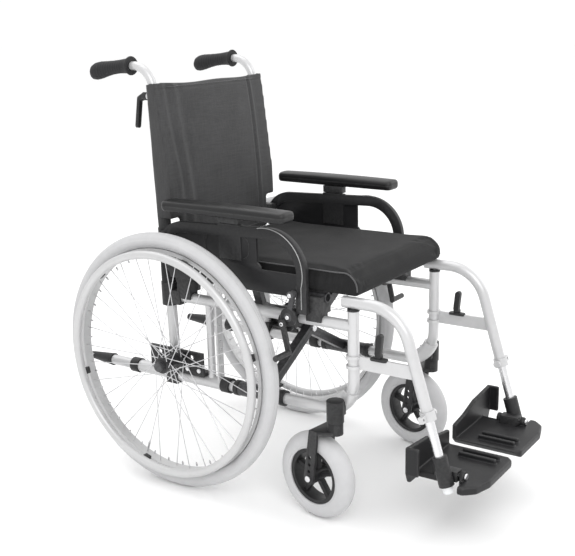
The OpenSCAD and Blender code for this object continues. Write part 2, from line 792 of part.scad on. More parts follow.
// One bar of the cross: bearing on a lower tube at the right, saddle under the left rail
module brace_bar(y) {
    run = frame_x / cos(brace_angle);
    top_s = (frame_x + frame_x - bar_lift) / cos(brace_angle);
    end_x = frame_x - bar_lift;
    end_z = lower_z + (2 * frame_x - bar_lift) * tan(brace_angle);
    translate([-frame_x, 0, lower_z]) difference() {
        union() {
            rod_y(tube_r + 4.5, brace_y - bearing_len, brace_y + bearing_len);
            rotate([0, -brace_angle, 0]) translate([tube_r + 2, y - bar_t / 2, -bar_h / 2])
                cube([top_s - tube_r - 2, bar_t, bar_h]);
            rotate([0, -brace_angle, 0]) translate([top_s, 0, 0]) rod_y(bar_h / 2, y - bar_t / 2, y + bar_t / 2);
            translate([frame_x + end_x, 0, end_z - lower_z]) post(y);
        }
        rod_y(tube_r + run_gap, brace_y - bearing_len - 5, brace_y + bearing_len + 5);
        rotate([0, -brace_angle, 0]) translate([run, 0, 0]) rod_y(bolt_r + run_gap, y - 40, y + 40);
        translate([frame_x + rail_x, 0, rail_z - lower_z])
            rod_y(rail_d / 2 + seat_gap, y - 60, y + 60);
    }
}

// Bracket from the bar's end up to the seat rail
module post(y) {
    rise = rail_z - (lower_z + (2 * frame_x - bar_lift) * tan(brace_angle));
    reach = rail_x - (frame_x - bar_lift);
    rotate([0, atan2(reach, rise), 0]) translate([-7, y - bar_t / 2, -4])
        cube([14, bar_t, norm([reach, rise]) - 1]);
}

module brace_bar_a() {
    color(black) translate([0, axle_y, 0]) brace_bar(brace_y - bar_t / 2 - pass_gap / 2);
}

module brace_bar_b() {
    color(black) translate([0, axle_y, 0]) mirror([1, 0, 0]) brace_bar(brace_y + bar_t / 2 + pass_gap / 2);
}

module brace_pivot_bolt() {
    half = bar_t + pass_gap / 2;
    color(bright) translate([0, axle_y, pivot_z]) {
        rod_y(bolt_r, brace_y - half - 1, brace_y + half + 1);
        rod_y(bolt_r + 4, brace_y - half - 5, brace_y - half - seat_gap);
        rod_y(bolt_r + 4, brace_y + half + seat_gap, brace_y + half + 5);
    }
}

module seat_sling() {
    sling_z = rail_z + rail_d / 2 + 0.4;
    color(fabric) translate([-rail_x - 8, axle_y + rail_front + 3, sling_z])
        cube([2 * rail_x + 16, rail_rear - rail_front - 8, 3]);
}

module seat_cushion() {
    cushion_z = hanger_z + tube_r + 0.4;
    half = frame_x + 11;
    front = -cushion_depth;
    color(fabric) translate([0, axle_y, cushion_z]) rotate([90, 0, 90]) translate([0, 0, -half])
        linear_extrude(2 * half) polygon([
            [front + 6, 0], [front, 6], [front, 32], [front + 20, cushion_h], [-6, cushion_h], [0, cushion_h - 6],
            [0, 0]
        ]);
}

module back_upholstery() {
    half = frame_x + 12;
    back_foot = 628;
    lower_foot = 548;
    slot_r = tube_r + 0.6;
    color(fabric) translate([0, axle_y, 0]) difference() {
        union() {
            // Padded panel, fuller towards the seat
            rotate([90, 0, 90]) translate([0, 0, -half]) linear_extrude(2 * half) polygon([
                [18, back_foot], [19, 700], [29, 787], [48, back_top],
                [cane_y(back_top) - 4, back_top], [cane_y(back_foot) - 4, back_foot]
            ]);
            // Sleeves that the canes run through
            for (m = [-1, 1]) cane_line(slot_r + 2.4, back_foot, back_top, m * cane_x);
            translate([-half + 32, 19, lower_foot]) cube([2 * half - 64, 8, back_foot - lower_foot + 20]);
        }
        for (m = [-1, 1]) cane_line(slot_r, back_foot - 40, back_top + 40, m * cane_x);
        // Openings for the clamp levers' bosses
        for (m = [-1, 1]) translate([m * cane_x, cane_y(lever_z), lever_z]) rod_y(11, 0, 40);
        translate([-cane_x + tube_r + 6, cane_y(back_foot) - 12, back_foot - 60]) rotate([-cane_tilt, 0, 0])
            cube([2 * (cane_x - tube_r - 6), 60, 420]);
    }
}

on_side(-1) side_frame();  // right_side_frame
on_side(-1) frame_fittings();  // right_frame_fittings
on_side(-1) axle_plate();  // right_axle_plate
on_side(-1) caster_housing();  // right_caster_housing
on_side(-1) back_cane();  // right_back_cane
on_side(-1) axle_pin();  // right_axle_pin
on_side(-1) push_tube();  // right_push_tube
on_side(-1) push_grip();  // right_push_grip
on_side(-1) cane_lever();  // right_cane_lever
on_side(-1) arm_panel();  // right_arm_panel
on_side(-1) arm_pad();  // right_arm_pad
on_side(-1) hanger();  // right_hanger
on_side(-1) hanger_lever();  // right_hanger_lever
on_side(-1) foot_tube();  // right_foot_tube
on_side(-1) foot_bracket();  // right_foot_bracket
on_side(-1) footplate();  // right_footplate
caster_fork(-1);  // right_caster_fork
caster_hub(-1);  // right_caster_hub
caster_tyre(-1);  // right_caster_tyre
on_side(-1) wheel_tyre();  // right_wheel_tyre
on_side(-1) wheel_rim();  // right_wheel_rim
on_side(-1) wheel_spokes();  // right_wheel_spokes
on_side(-1) wheel_hub();  // right_wheel_hub
on_side(-1) handrim();  // right_handrim
on_side(-1) brake_lever();  // right_brake_lever
on_side(-1) brake_shoe();  // right_brake_shoe
on_side(-1) seat_rail();  // right_seat_rail
on_side(1) side_frame();  // left_side_frame
on_side(1) frame_fittings();  // left_frame_fittings
on_side(1) axle_plate();  // left_axle_plate
on_side(1) caster_housing();  // left_caster_housing
on_side(1) back_cane();  // left_back_cane
on_side(1) axle_pin();  // left_axle_pin
on_side(1) push_tube();  // left_push_tube
on_side(1) push_grip();  // left_push_grip
on_side(1) cane_lever();  // left_cane_lever
on_side(1) arm_panel();  // left_arm_panel
on_side(1) arm_pad();  // left_arm_pad
on_side(1) hanger();  // left_hanger
on_side(1) hanger_lever();  // left_hanger_lever
on_side(1) foot_tube();  // left_foot_tube
on_side(1) foot_bracket();  // left_foot_bracket
on_side(1) footplate();  // left_footplate
caster_fork(1);  // left_caster_fork
caster_hub(1);  // left_caster_hub
caster_tyre(1);  // left_caster_tyre
on_side(1) wheel_tyre();  // left_wheel_tyre
on_side(1) wheel_rim();  // left_wheel_rim
on_side(1) wheel_spokes();  // left_wheel_spokes
on_side(1) wheel_hub();  // left_wheel_hub
on_side(1) handrim();  // left_handrim
on_side(1) brake_lever();  // left_brake_lever
on_side(1) brake_shoe();  // left_brake_shoe
on_side(1) seat_rail();  // left_seat_rail
brace_bar_a();
brace_bar_b();
brace_pivot_bolt();
seat_sling();
seat_cushion();
back_upholstery();
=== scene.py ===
"""Looks of a folding manual wheelchair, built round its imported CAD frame."""
import json
import logging
import math
from dataclasses import dataclass
from enum import Enum
from functools import cache
from typing import Any, Callable, Sequence

import bmesh
import bpy
import numpy as np
from mathutils import Matrix, Vector
from mathutils.bvhtree import BVHTree


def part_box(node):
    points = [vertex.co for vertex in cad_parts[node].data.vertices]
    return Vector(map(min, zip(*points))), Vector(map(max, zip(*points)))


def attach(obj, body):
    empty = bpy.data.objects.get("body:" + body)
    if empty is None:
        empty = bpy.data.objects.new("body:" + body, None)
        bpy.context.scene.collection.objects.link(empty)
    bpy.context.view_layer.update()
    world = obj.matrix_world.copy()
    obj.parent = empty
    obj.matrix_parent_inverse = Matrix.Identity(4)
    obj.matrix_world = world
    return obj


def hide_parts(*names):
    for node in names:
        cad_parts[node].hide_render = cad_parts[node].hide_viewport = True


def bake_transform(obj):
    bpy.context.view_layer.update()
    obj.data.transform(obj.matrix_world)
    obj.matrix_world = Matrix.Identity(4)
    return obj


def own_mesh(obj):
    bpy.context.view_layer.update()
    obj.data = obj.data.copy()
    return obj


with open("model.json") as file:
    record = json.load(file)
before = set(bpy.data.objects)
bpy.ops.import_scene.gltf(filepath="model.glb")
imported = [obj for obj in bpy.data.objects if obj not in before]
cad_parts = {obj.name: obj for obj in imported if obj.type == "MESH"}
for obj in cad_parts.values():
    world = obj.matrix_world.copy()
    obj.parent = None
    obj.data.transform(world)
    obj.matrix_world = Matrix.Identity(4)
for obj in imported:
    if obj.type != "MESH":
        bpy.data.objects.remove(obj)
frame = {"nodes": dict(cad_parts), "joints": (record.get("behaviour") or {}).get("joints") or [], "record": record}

LOG = logging.getLogger("wheelchair")
MM = 0.001
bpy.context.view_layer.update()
CAD_NODES = frame["nodes"]
JOINTS = {joint["name"]: joint for joint in frame["joints"]}
BODY_OF = {
    node: body for body, nodes in frame["record"]["behaviour"]["bodies"].items() for node in nodes
}

ORIGIN = Vector((0, 0, 0))

Colour = tuple[float, float, float]
Profile = Sequence[tuple[float, float]]
Rule = Callable[[np.ndarray], np.ndarray]
Piece = bpy.types.Object
Socket = bpy.types.NodeSocket
Tree = bpy.types.NodeTree


class Side(Enum):
    """The sitter's right or left side."""

    RIGHT = -1
    LEFT = 1

    @property
    def word(self) -> str:
        """The side's word as the CAD nodes have it."""
        return self.name.lower()


class Part(Enum):
    """What edit mode selects."""

    VERT = "VERT"
    EDGE = "EDGE"
    FACE = "FACE"


class Axis(Enum):
    """One of the frame's three axes."""

    X = 0
    Y = 1
    Z = 2

    @property
    def vector(self) -> Vector:
        """The unit vector along the axis."""
        return Vector([1.0 if i == self.value else 0.0 for i in range(3)])


# ---------------------------------------------------------------- node graphs


class Graph:
    """Adds and joins the nodes of one tree."""

    def __init__(self, tree: Tree) -> None:
        """Keeps the tree that the nodes go into."""
        self.tree = tree

    def add(self, kind: str, **settings: Any) -> bpy.types.Node:
        """Adds one node.

        Args:
            kind: the node's type without its ShaderNode prefix.
            settings: attributes to set on it.

        Returns:
            The new node.
        """
        node = self.tree.nodes.new(kind if kind.startswith("Node") else "ShaderNode" + kind)
        for key, value in settings.items():
            setattr(node, key, value)
        return node

    def feed(self, node: bpy.types.Node, **inputs: Any) -> bpy.types.Node:
        """Sets or joins a node's inputs by name with _ for a space, or by place as i0 or i6.

        Args:
            node: the node whose inputs are fed.
            inputs: a socket to join, or a plain value to set.

        Returns:
            The same node.
        """
        for key, value in inputs.items():
            place = int(key[1:]) if key[1:].isdigit() else key.replace("_", " ")
            socket = node.inputs[place]
            if isinstance(value, Socket):
                self.tree.links.new(value, socket)
            else:
                socket.default_value = value
        return node

    def maths(self, operation: str, a: Any, b: Any = 0.0) -> Socket:
        """Adds a Math node and returns its value."""
        return self.feed(self.add("Math", operation=operation), i0=a, i1=b).outputs[0]

    def noise(self, vector: Any, scale: Any, detail: float = 2.0) -> Socket:
        """Adds a Noise texture.

        Args:
            vector: the place it reads.
            scale: its scale.
            detail: its octaves.

        Returns:
            Its value.
        """
        node = self.add("TexNoise")
        self.feed(node, Vector=vector, Scale=scale, Detail=detail)
        return node.outputs["Fac"]

    def spread(self, value: Any, low: float, high: float, to_low: float, to_high: float) -> Socket:
        """Maps a value from one range to another, clamped."""
        node = self.feed(self.add("MapRange"), i0=value, i1=low, i2=high, i3=to_low, i4=to_high)
        return node.outputs[0]

    def weigh(self, a: Any, share_a: float, b: Any, share_b: float) -> Socket:
        """Adds two values, each times its share."""
        parts = [self.maths("MULTIPLY", value, share) for value, share in ((a, share_a), (b, share_b))]
        return self.maths("ADD", *parts)

    def layer(self, mask: Any, under: Any, over: Any) -> Socket:
        """Lays one colour over another by a mask."""
        return self.feed(self.add("Mix", data_type="RGBA"), i0=mask, i6=under, i7=over).outputs[2]


class Effects:
    """The node groups that several materials share, each built once."""

    @staticmethod
    def _start(
        name: str, inputs: dict[str, float | None], outputs: Sequence[str]
    ) -> tuple[Graph, Any, Any]:
        """Makes an empty group.

        Args:
            name: the group's name.
            inputs: each input's name and default, or None for a vector.
            outputs: names of the value outputs.

        Returns:
            The graph, its input node and its output node.
        """
        tree = bpy.data.node_groups.new(name, "ShaderNodeTree")
        for key, default in inputs.items():
            kind = "NodeSocketVector" if default is None else "NodeSocketFloat"
            socket = tree.interface.new_socket(name=key, in_out="INPUT", socket_type=kind)
            if default is not None:
                socket.default_value = default
        for key in outputs:
            tree.interface.new_socket(name=key, in_out="OUTPUT", socket_type="NodeSocketFloat")
        graph = Graph(tree)
        return graph, graph.add("NodeGroupInput"), graph.add("NodeGroupOutput")

    @classmethod
    @cache
    def grain(cls) -> Tree:
        """Fine pebble grain of mouldings and lacquer, with a slow change of shade."""
        graph, start, end = cls._start("surface_grain", {"Vector": None, "Scale": 900.0}, ["Height", "Shade"])
        fine = graph.noise(start.outputs["Vector"], start.outputs["Scale"], 3.0)
        cell = graph.add("TexVoronoi")
        graph.feed(cell, Vector=start.outputs["Vector"], Scale=start.outputs["Scale"])
        height = graph.weigh(fine, 0.6, cell.outputs["Distance"], 0.5)
        slow = graph.noise(start.outputs["Vector"], 9.0, 4.0)
        mottle = graph.noise(start.outputs["Vector"], 70.0, 2.0)
        shade = graph.weigh(slow, 0.65, mottle, 0.35)
        graph.feed(end, Height=height, Shade=shade)
        return graph.tree

    @classmethod
    @cache
    def weave(cls) -> Tree:
        """Plain weave of thread over thread that reads on a face square to any axis."""
        graph, start, end = cls._start("plain_weave", {"Vector": None, "Threads": 900.0}, ["Height", "Shade"])
        split = graph.feed(graph.add("SeparateXYZ"), Vector=start.outputs["Vector"])
        turn = graph.maths("MULTIPLY", start.outputs["Threads"], math.pi)
        waves = [graph.maths("SINE", graph.maths("MULTIPLY", split.outputs[i], turn)) for i in range(3)]
        pairs = [graph.maths("MULTIPLY", waves[i], waves[(i + 1) % 3]) for i in range(3)]
        cross = graph.maths("ADD", graph.maths("ADD", pairs[0], pairs[1]), pairs[2])
        slubs = []
        for stretch in ((26.0, 420.0, 420.0), (420.0, 420.0, 26.0)):
            mapped = graph.feed(graph.add("Mapping"), Vector=start.outputs["Vector"], Scale=stretch)
            slubs.append(graph.noise(mapped.outputs[0], 1.0, 1.0))
        slub = graph.maths("ADD", slubs[0], slubs[1])
        height = graph.maths("ADD", graph.maths("MULTIPLY", cross, 0.5), slub)
        slow = graph.noise(start.outputs["Vector"], 14.0, 3.0)
        graph.feed(end, Height=height, Shade=graph.weigh(slub, 0.35, slow, 0.3))
        return graph.tree

    @classmethod
    @cache
    def wear(cls) -> Tree:
        """Rubbed edges and a painted edge highlight: sharp places lightened, broken up by noise."""
        graph, start, end = cls._start("edge_wear", {"Vector": None, "Edge": 0.5, "Amount": 0.5}, ["Mask"])
        edge = graph.spread(start.outputs["Edge"], 0.51, 0.58, 0.0, 1.0)
        rough = graph.spread(graph.noise(start.outputs["Vector"], 160.0, 3.0), 0.35, 0.65, 0.4, 1.0)
        mask = graph.maths("MULTIPLY", graph.maths("MULTIPLY", edge, rough), start.outputs["Amount"])
        graph.feed(end, Mask=mask)
        return graph.tree

    @classmethod
    @cache
    def dust(cls) -> Tree:
        """Dust that settles on faces that look up, in soft patches."""
        graph, start, end = cls._start("settled_dust", {"Vector": None, "Amount": 0.1}, ["Mask"])
        normal = graph.add("NewGeometry").outputs["Normal"]
        up = graph.feed(graph.add("SeparateXYZ"), Vector=normal).outputs["Z"]
        facing = graph.spread(up, 0.1, 0.9, 0.0, 1.0)
        patch = graph.spread(graph.noise(start.outputs["Vector"], 22.0, 5.0), 0.35, 0.75, 0.0, 1.0)
        mask = graph.maths("MULTIPLY", graph.maths("MULTIPLY", facing, patch), start.outputs["Amount"])
        graph.feed(end, Mask=mask)
        return graph.tree


# ------------------------------------------------------------------- finishes


DUST_COLOUR = (0.42, 0.41, 0.4, 1.0)
DUST_DULLING = 0.3
BUMP_STRENGTH = 0.6
COAT_ROUGHNESS = 0.12
SHEEN_ROUGHNESS = 0.45


@dataclass(frozen=True)
class Finish:
    """A finish: its colour, gloss, grain, edge wear with a painted edge highlight, and dust.

    Grain is in cycles a metre and relief in millimetres.
    """

    name: str
    colour: Colour
    roughness: float
    metallic: float = 0.0
    grain: float = 900.0
    relief: float = 0.05
    shade: float = 0.12
    gloss_range: float = 0.06
    # Sharp edges are lightened by this amount to the next colour: part wear, part painted highlight.
    wear: float = 0.25
    worn: Colour = (0.2, 0.2, 0.2)
    dust: float = 0.06
    coat: float = 0.0
    sheen: float = 0.0
    specular: float = 0.5

    def surface(self) -> Any:
        """The node group that gives this finish its height and shade."""
        return Effects.grain()

    def repeat(self) -> tuple[str, float]:
        """The name and value of the surface group's size input."""
        return "Scale", self.grain

    def material(self) -> bpy.types.Material:
        """Builds the material once.

        Returns:
            The material, new or already made.
        """
        if self.name in bpy.data.materials:
            return bpy.data.materials[self.name]
        material = bpy.data.materials.new(self.name)
        material.use_nodes = True
        graph = Graph(material.node_tree)
        shader = material.node_tree.nodes["Principled BSDF"]
        place = graph.add("TexCoord").outputs["Object"]
        key, size = self.repeat()
        surface = graph.add("Group", node_tree=self.surface())
        graph.feed(surface, Vector=place, **{key: size})
        wear = graph.feed(graph.add("Group", node_tree=Effects.wear()), Vector=place, Amount=self.wear)
        graph.feed(wear, Edge=graph.add("NewGeometry").outputs["Pointiness"])
        dust = graph.feed(graph.add("Group", node_tree=Effects.dust()), Vector=place, Amount=self.dust)
        dark = tuple(c * (1 - self.shade) for c in self.colour) + (1.0,)
        light = tuple(min(1.0, c * (1 + self.shade)) for c in self.colour) + (1.0,)
        shade, settled = surface.outputs["Shade"], dust.outputs["Mask"]
        tone = graph.layer(graph.spread(shade, 0.3, 0.7, 0.0, 1.0), dark, light)
        # Sharp edges lightened: part edge wear, part painted highlight.
        rubbed_and_highlit = graph.layer(wear.outputs["Mask"], tone, self.worn + (1.0,))
        dusty = graph.layer(settled, rubbed_and_highlit, DUST_COLOUR)
        smooth, rough = self.roughness - self.gloss_range, self.roughness + self.gloss_range
        gloss = graph.spread(shade, 0.2, 0.8, smooth, rough)
        bump = graph.add("Bump")
        height = surface.outputs["Height"]
        graph.feed(bump, Height=height, Strength=BUMP_STRENGTH, Distance=self.relief * MM)
        graph.feed(
            shader, Base_Color=dusty, Normal=bump.outputs[0], Metallic=self.metallic,
            Roughness=graph.maths("ADD", gloss, graph.maths("MULTIPLY", settled, DUST_DULLING)),
            Coat_Weight=self.coat, Coat_Roughness=COAT_ROUGHNESS, Sheen_Weight=self.sheen,
            Sheen_Roughness=SHEEN_ROUGHNESS, Specular_IOR_Level=self.specular,
        )
        return material


@dataclass(frozen=True)
class Cloth(Finish):
    """A woven finish, with its threads a metre."""

    threads: float = 900.0

    def surface(self) -> Any:
        """The weave group."""
        return Effects.weave()

    def repeat(self) -> tuple[str, float]:
        """Threads a metre."""
        return "Threads", self.threads


LACQUER = Finish(
    "silver_lacquer", (0.56, 0.56, 0.565), 0.34, metallic=0.35, grain=2200, relief=0.012,
    shade=0.05, wear=0.1, worn=(0.6, 0.6, 0.6), dust=0.03, coat=0.25,
)
RIM_ALLOY = Finish(
    "satin_rim_alloy", (0.54, 0.54, 0.543), 0.38, metallic=0.3, grain=1500, relief=0.006,
    shade=0.05, wear=0.0, dust=0.03, coat=0.15,
)
ALLOY = Finish(
    "polished_alloy", (0.74, 0.74, 0.75), 0.26, metallic=0.9, grain=1500, relief=0.008, shade=0.05,
    wear=0.0, dust=0.02,
)
SPOKE_STEEL = Finish(
    "spoke_steel", (0.62, 0.62, 0.63), 0.3, metallic=0.9, grain=900, relief=0.005, shade=0.05,
    wear=0.0, dust=0.02,
)
MOULDING = Finish(
    "black_moulding", (0.013, 0.013, 0.014), 0.44, grain=1100, relief=0.03, shade=0.18,
    worn=(0.1, 0.1, 0.1), wear=0.4, dust=0.02, specular=0.3,
)
STEEL = Finish(
    "blackened_steel", (0.012, 0.012, 0.013), 0.36, grain=800, relief=0.02, shade=0.15,
    worn=(0.2, 0.2, 0.21), wear=0.3, dust=0.02, coat=0.1, specular=0.35,
)
LEVER_GREY = Finish(
    "grey_lever", (0.05, 0.05, 0.053), 0.4, grain=1300, relief=0.02, shade=0.12,
    worn=(0.2, 0.2, 0.2), dust=0.03, specular=0.4,
)
TYRE = Finish(
    "tyre_rubber", (0.50, 0.50, 0.507), 0.6, grain=700, relief=0.05, shade=0.06, wear=0.1,
    worn=(0.55, 0.55, 0.56), dust=0.05,
)
GRIP = Finish(
    "moulded_grip", (0.016, 0.016, 0.017), 0.68, grain=420, relief=0.35, shade=0.2, wear=0.1,
    worn=(0.06, 0.06, 0.06), dust=0.03, specular=0.3,
)
PAD_SKIN = Finish(
    "pad_skin", (0.009, 0.009, 0.0095), 0.4, grain=650, relief=0.06, shade=0.14,
    worn=(0.1, 0.1, 0.1), wear=0.4, dust=0.03, specular=0.35,
)
# A light grey that paints the highlight along the arm's arched edge.
ARCH_HIGHLIGHT = Finish(
    "rubbed_edge", (0.3, 0.3, 0.3), 0.3, grain=700, relief=0.02, shade=0.35, wear=0.2,
    worn=(0.5, 0.5, 0.5), dust=0.0, coat=0.3,
)
WHITE_CAP = Finish("white_cap", (0.72, 0.73, 0.74), 0.45, grain=900, relief=0.02, shade=0.05, wear=0.0)
SEAT_NYLON = Cloth(
    "seat_nylon", (0.0125, 0.0125, 0.013), 0.74, relief=0.22, shade=0.3, gloss_range=0.08, wear=0.0,
    dust=0.02, sheen=0.06, specular=0.16, threads=620,
)
NYLON = Cloth(
    "dark_nylon", (0.050, 0.050, 0.051), 0.74, relief=0.22, shade=0.3, gloss_range=0.08, wear=0.0,
    dust=0.03, sheen=0.12, specular=0.2, threads=620,
)
BINDING = Cloth(
    "nylon_binding", (0.06, 0.06, 0.062), 0.6, relief=0.25, shade=0.25, wear=0.0, dust=0.03,
    sheen=0.3, threads=1100,
)

CAD_FINISHES = {
    "frame_silver": LACQUER, "bright_metal": ALLOY, "black_plastic": MOULDING,
    "black_steel": STEEL, "lever_grey": LEVER_GREY, "grey_tyre": TYRE, "grip_rubber": GRIP,
    "pad_foam": PAD_SKIN, "nylon_fabric": NYLON,
}


# ---------------------------------------------------------------------- bench


class Bench:
    """The working steps that every piece shares."""

    @staticmethod
    def clear() -> None:
        """Goes to object mode with nothing selected."""
        if bpy.context.object and bpy.context.object.mode != "OBJECT":
            bpy.ops.object.mode_set(mode="OBJECT")
        bpy.ops.object.select_all(action="DESELECT")

    @classmethod
    def take(cls, *objs: Piece) -> None:
        """Selects some objects alone.

        Args:
            objs: the objects, of which the first is made active.
        """
        cls.clear()
        for obj in objs:
            obj.select_set(True)
        bpy.context.view_layer.objects.active = objs[0]

    @classmethod
    def open(cls, obj: Piece, everything: bool = True) -> None:
        """Opens one object in edit mode.

        Args:
            obj: the object.
            everything: whether all of it starts selected, or nothing.
        """
        cls.take(obj)
        bpy.ops.object.mode_set(mode="EDIT")
        bpy.ops.mesh.select_mode(type="VERT")
        bpy.ops.mesh.select_all(action="SELECT" if everything else "DESELECT")

    @staticmethod
    def shut() -> None:
        """Goes back to object mode."""
        bpy.ops.object.mode_set(mode="OBJECT")

    @staticmethod
    def pick(obj: Piece, kind: Part, test: Callable[[Any], bool]) -> int:
        """Selects what passes a test, in edit mode.

        Args:
            obj: the object being edited.
            kind: what to select.
            test: takes the vertex, edge or face.

        Returns:
            How many passed.
        """
        bpy.ops.mesh.select_all(action="DESELECT")
        bpy.ops.mesh.select_mode(type=kind.value)
        mesh = bmesh.from_edit_mesh(obj.data)
        items = {Part.VERT: mesh.verts, Part.EDGE: mesh.edges, Part.FACE: mesh.faces}[kind]
        count = 0
        for item in items:
            if test(item):
                item.select_set(True)
                count += 1
        bmesh.update_edit_mesh(obj.data)
        return count

    @classmethod
    def apply(cls, obj: Piece, kind: str, **settings: Any) -> None:
        """Adds one modifier and applies it.

        Args:
            obj: the object.
            kind: the modifier's type.
            settings: attributes to set on it.
        """
        cls.take(obj)
        modifier = obj.modifiers.new(kind.title(), kind)
        for key, value in settings.items():
            setattr(modifier, key, value)
        bpy.ops.object.modifier_apply(modifier=modifier.name)

    @classmethod
    def settle(cls, obj: Piece, angle: float = 35.0) -> None:
        """Puts a piece's place into its mesh and smooths it.

        Args:
            obj: the piece.
            angle: edges sharper than this many degrees stay sharp.
        """
        cls.take(obj)
        bpy.ops.object.transform_apply(location=True, rotation=True, scale=True)
        bpy.ops.object.shade_smooth_by_angle(angle=math.radians(angle))

    @classmethod
    def soften(cls, obj: Piece, width: float, segments: int = 2, angle: float = 40.0) -> None:
        """Rounds the edges that are sharper than an angle in degrees."""
        limit = math.radians(angle)
        cls.apply(obj, "BEVEL", width=width, segments=segments, limit_method="ANGLE", angle_limit=limit)

    @classmethod
    def remesh(cls, obj: Piece, voxel: float, passes: int) -> None:
        """Gives a closed piece an even mesh and smooths it."""
        cls.apply(obj, "REMESH", mode="VOXEL", voxel_size=voxel)
        cls.apply(obj, "SMOOTH", factor=0.5, iterations=passes)

    @staticmethod
    def face_out() -> None:
        """Turns every face outwards, in edit mode."""
        bpy.ops.mesh.select_all(action="SELECT")
        bpy.ops.mesh.normals_make_consistent(inside=False)

    @staticmethod
    def link(name: str, data: bpy.types.ID) -> Piece:
        """Adds an object to the scene.

        Args:
            name: the object's name.
            data: its mesh, curve, light or camera.

        Returns:
            The object.
        """
        obj = bpy.data.objects.new(name, data)
        bpy.context.scene.collection.objects.link(obj)
        return obj

    @staticmethod
    def places(obj: Piece) -> np.ndarray:
        """Reads the places of a piece's vertices.

        Args:
            obj: the piece.

        Returns:
            An array with a row for each vertex.
        """
        flat = np.empty(len(obj.data.vertices) * 3)
        obj.data.vertices.foreach_get("co", flat)
        return flat.reshape(-1, 3)

    @classmethod
    def move(cls, obj: Piece, rule: Rule) -> None:
        """Moves every vertex by a rule that takes and returns an array of places."""
        obj.data.vertices.foreach_set("co", rule(cls.places(obj)).ravel())
        obj.data.update()

    @classmethod
    def copy_node(cls, node: str, name: str) -> Piece:
        """Copies a CAD node's mesh as a new merged object.

        Args:
            node: the CAD node.
            name: the new piece's name.

        Returns:
            The copy, at the origin.
        """
        obj = cls.link(name, CAD_NODES[node].data.copy())
        obj.data.materials.clear()
        cls.take(obj)
        if obj.data.has_custom_normals:
            bpy.ops.mesh.customdata_custom_splitnormals_clear()
        cls.open(obj)
        bpy.ops.mesh.remove_doubles(threshold=0.00002)
        bpy.ops.mesh.dissolve_limited(angle_limit=math.radians(0.4))
        cls.shut()
        return obj

    @classmethod
    def split_node(cls, node: str, name: str, test: Callable[[Vector, Vector], bool]) -> tuple[Any, Any]:
        """Copies a CAD node as two objects by a test on each closed part.

        Args:
            node: the CAD node.
            name: the name of the first object.
            test: takes a part's size and middle, and is true for the first object.

        Returns:
            The object of the parts that passed and of the rest, either None if empty.
        """
        obj = cls.copy_node(node, name)
        cls.open(obj)
        bpy.ops.mesh.separate(type="LOOSE")
        cls.shut()
        groups: dict[bool, list[Piece]] = {True: [], False: []}
        for part in list(bpy.context.selected_objects):
            corners = [Vector(corner) for corner in part.bound_box]
            size = corners[6] - corners[0]
            groups[test(size, (corners[6] + corners[0]) / 2)].append(part)
        found = []
        for passed in (True, False):
            parts = groups[passed]
            if parts:
                cls.take(*parts)
                if len(parts) > 1:
                    bpy.ops.object.join()
                parts[0].name = name if passed else name + "_rest"
            found.append(parts[0] if parts else None)
        return found[0], found[1]

    @classmethod
    def ring(
        cls, name: str, profile: Profile, middle: Vector, axis: Axis, steps: int, closed: bool = True
    ) -> Piece:
        """Turns a profile of (radius, along) points round an axis.

        Args:
            name: the piece's name.
            profile: the points in metres, in order.
            middle: a point on the axis from which along is measured.
            axis: the axis of the turn.
            steps: how many segments go round.
            closed: whether the profile is a loop clear of the axis.

        Returns:
            The piece, settled.
        """
        cls.clear()
        bpy.ops.mesh.primitive_circle_add(vertices=len(profile), radius=0.01, location=(0, 0, 0))
        obj = bpy.context.object
        obj.name = name
        out = Vector((0, 0, 1)) if axis is not Axis.Z else Vector((1, 0, 0))
        for vertex, (radius, along) in zip(obj.data.vertices, profile):
            vertex.co = middle + out * radius + axis.vector * along
        cls.open(obj)
        if not closed:
            first, last = (middle + axis.vector * profile[i][1] for i in (0, -1))

            def closing(edge: Any) -> bool:
                """True for the edge along the axis that closes the profile."""
                one, two = (vertex.co for vertex in edge.verts)
                straight = (one - first).length + (two - last).length
                turned = (two - first).length + (one - last).length
                return min(straight, turned) < 1e-5

            cls.pick(obj, Part.EDGE, closing)
            bpy.ops.mesh.delete(type="EDGE_FACE")
            bpy.ops.mesh.select_all(action="SELECT")
        bpy.ops.mesh.spin(steps=steps, angle=2 * math.pi, center=middle, axis=axis.vector)
        bpy.ops.mesh.select_all(action="SELECT")
        bpy.ops.mesh.remove_doubles(threshold=0.00001)
        bpy.ops.mesh.delete_loose()
        cls.face_out()
        cls.shut()
        cls.settle(obj)
        return obj

    @classmethod
    def block(cls, name: str, low: Vector, high: Vector) -> Piece:
        """Adds a box as the start of a piece.

        Args:
            name: the piece's name.
            low: the box's lowest corner.
            high: its highest corner.

        Returns:
            The box.
        """
        cls.clear()
        bpy.ops.mesh.primitive_cube_add(size=1.0, location=(low + high) / 2, scale=high - low)
        obj = bpy.context.object
        obj.name = name
        bpy.ops.object.transform_apply(location=True, rotation=True, scale=True)
        return obj

    @classmethod
    def tube(
        cls, name: str, path: Sequence[Vector], radius: float, sides: int = 8, loop: bool = False
    ) -> Piece:
        """Sweeps a thin round tube along a path and makes it a mesh.

        Args:
            name: the piece's name.
            path: the points along its middle.
            radius: the tube's radius.
            sides: about how many faces go round it.
            loop: whether its ends meet.

        Returns:
            The piece, settled.
        """
        cls.clear()
        curve = bpy.data.curves.new(name, "CURVE")
        curve.dimensions = "3D"
        curve.bevel_depth = radius
        curve.bevel_resolution = max(1, sides // 4)
        curve.use_fill_caps = True
        spline = curve.splines.new("POLY")
        spline.points.add(len(path) - 1)
        for point, place in zip(spline.points, path):
            point.co = (*place, 1.0)
        spline.use_cyclic_u = loop
        cls.take(cls.link(name, curve))
        bpy.ops.object.convert(target="MESH")
        obj = bpy.context.object
        cls.open(obj)
        cls.face_out()
        cls.shut()
        cls.settle(obj, 60)
        return obj

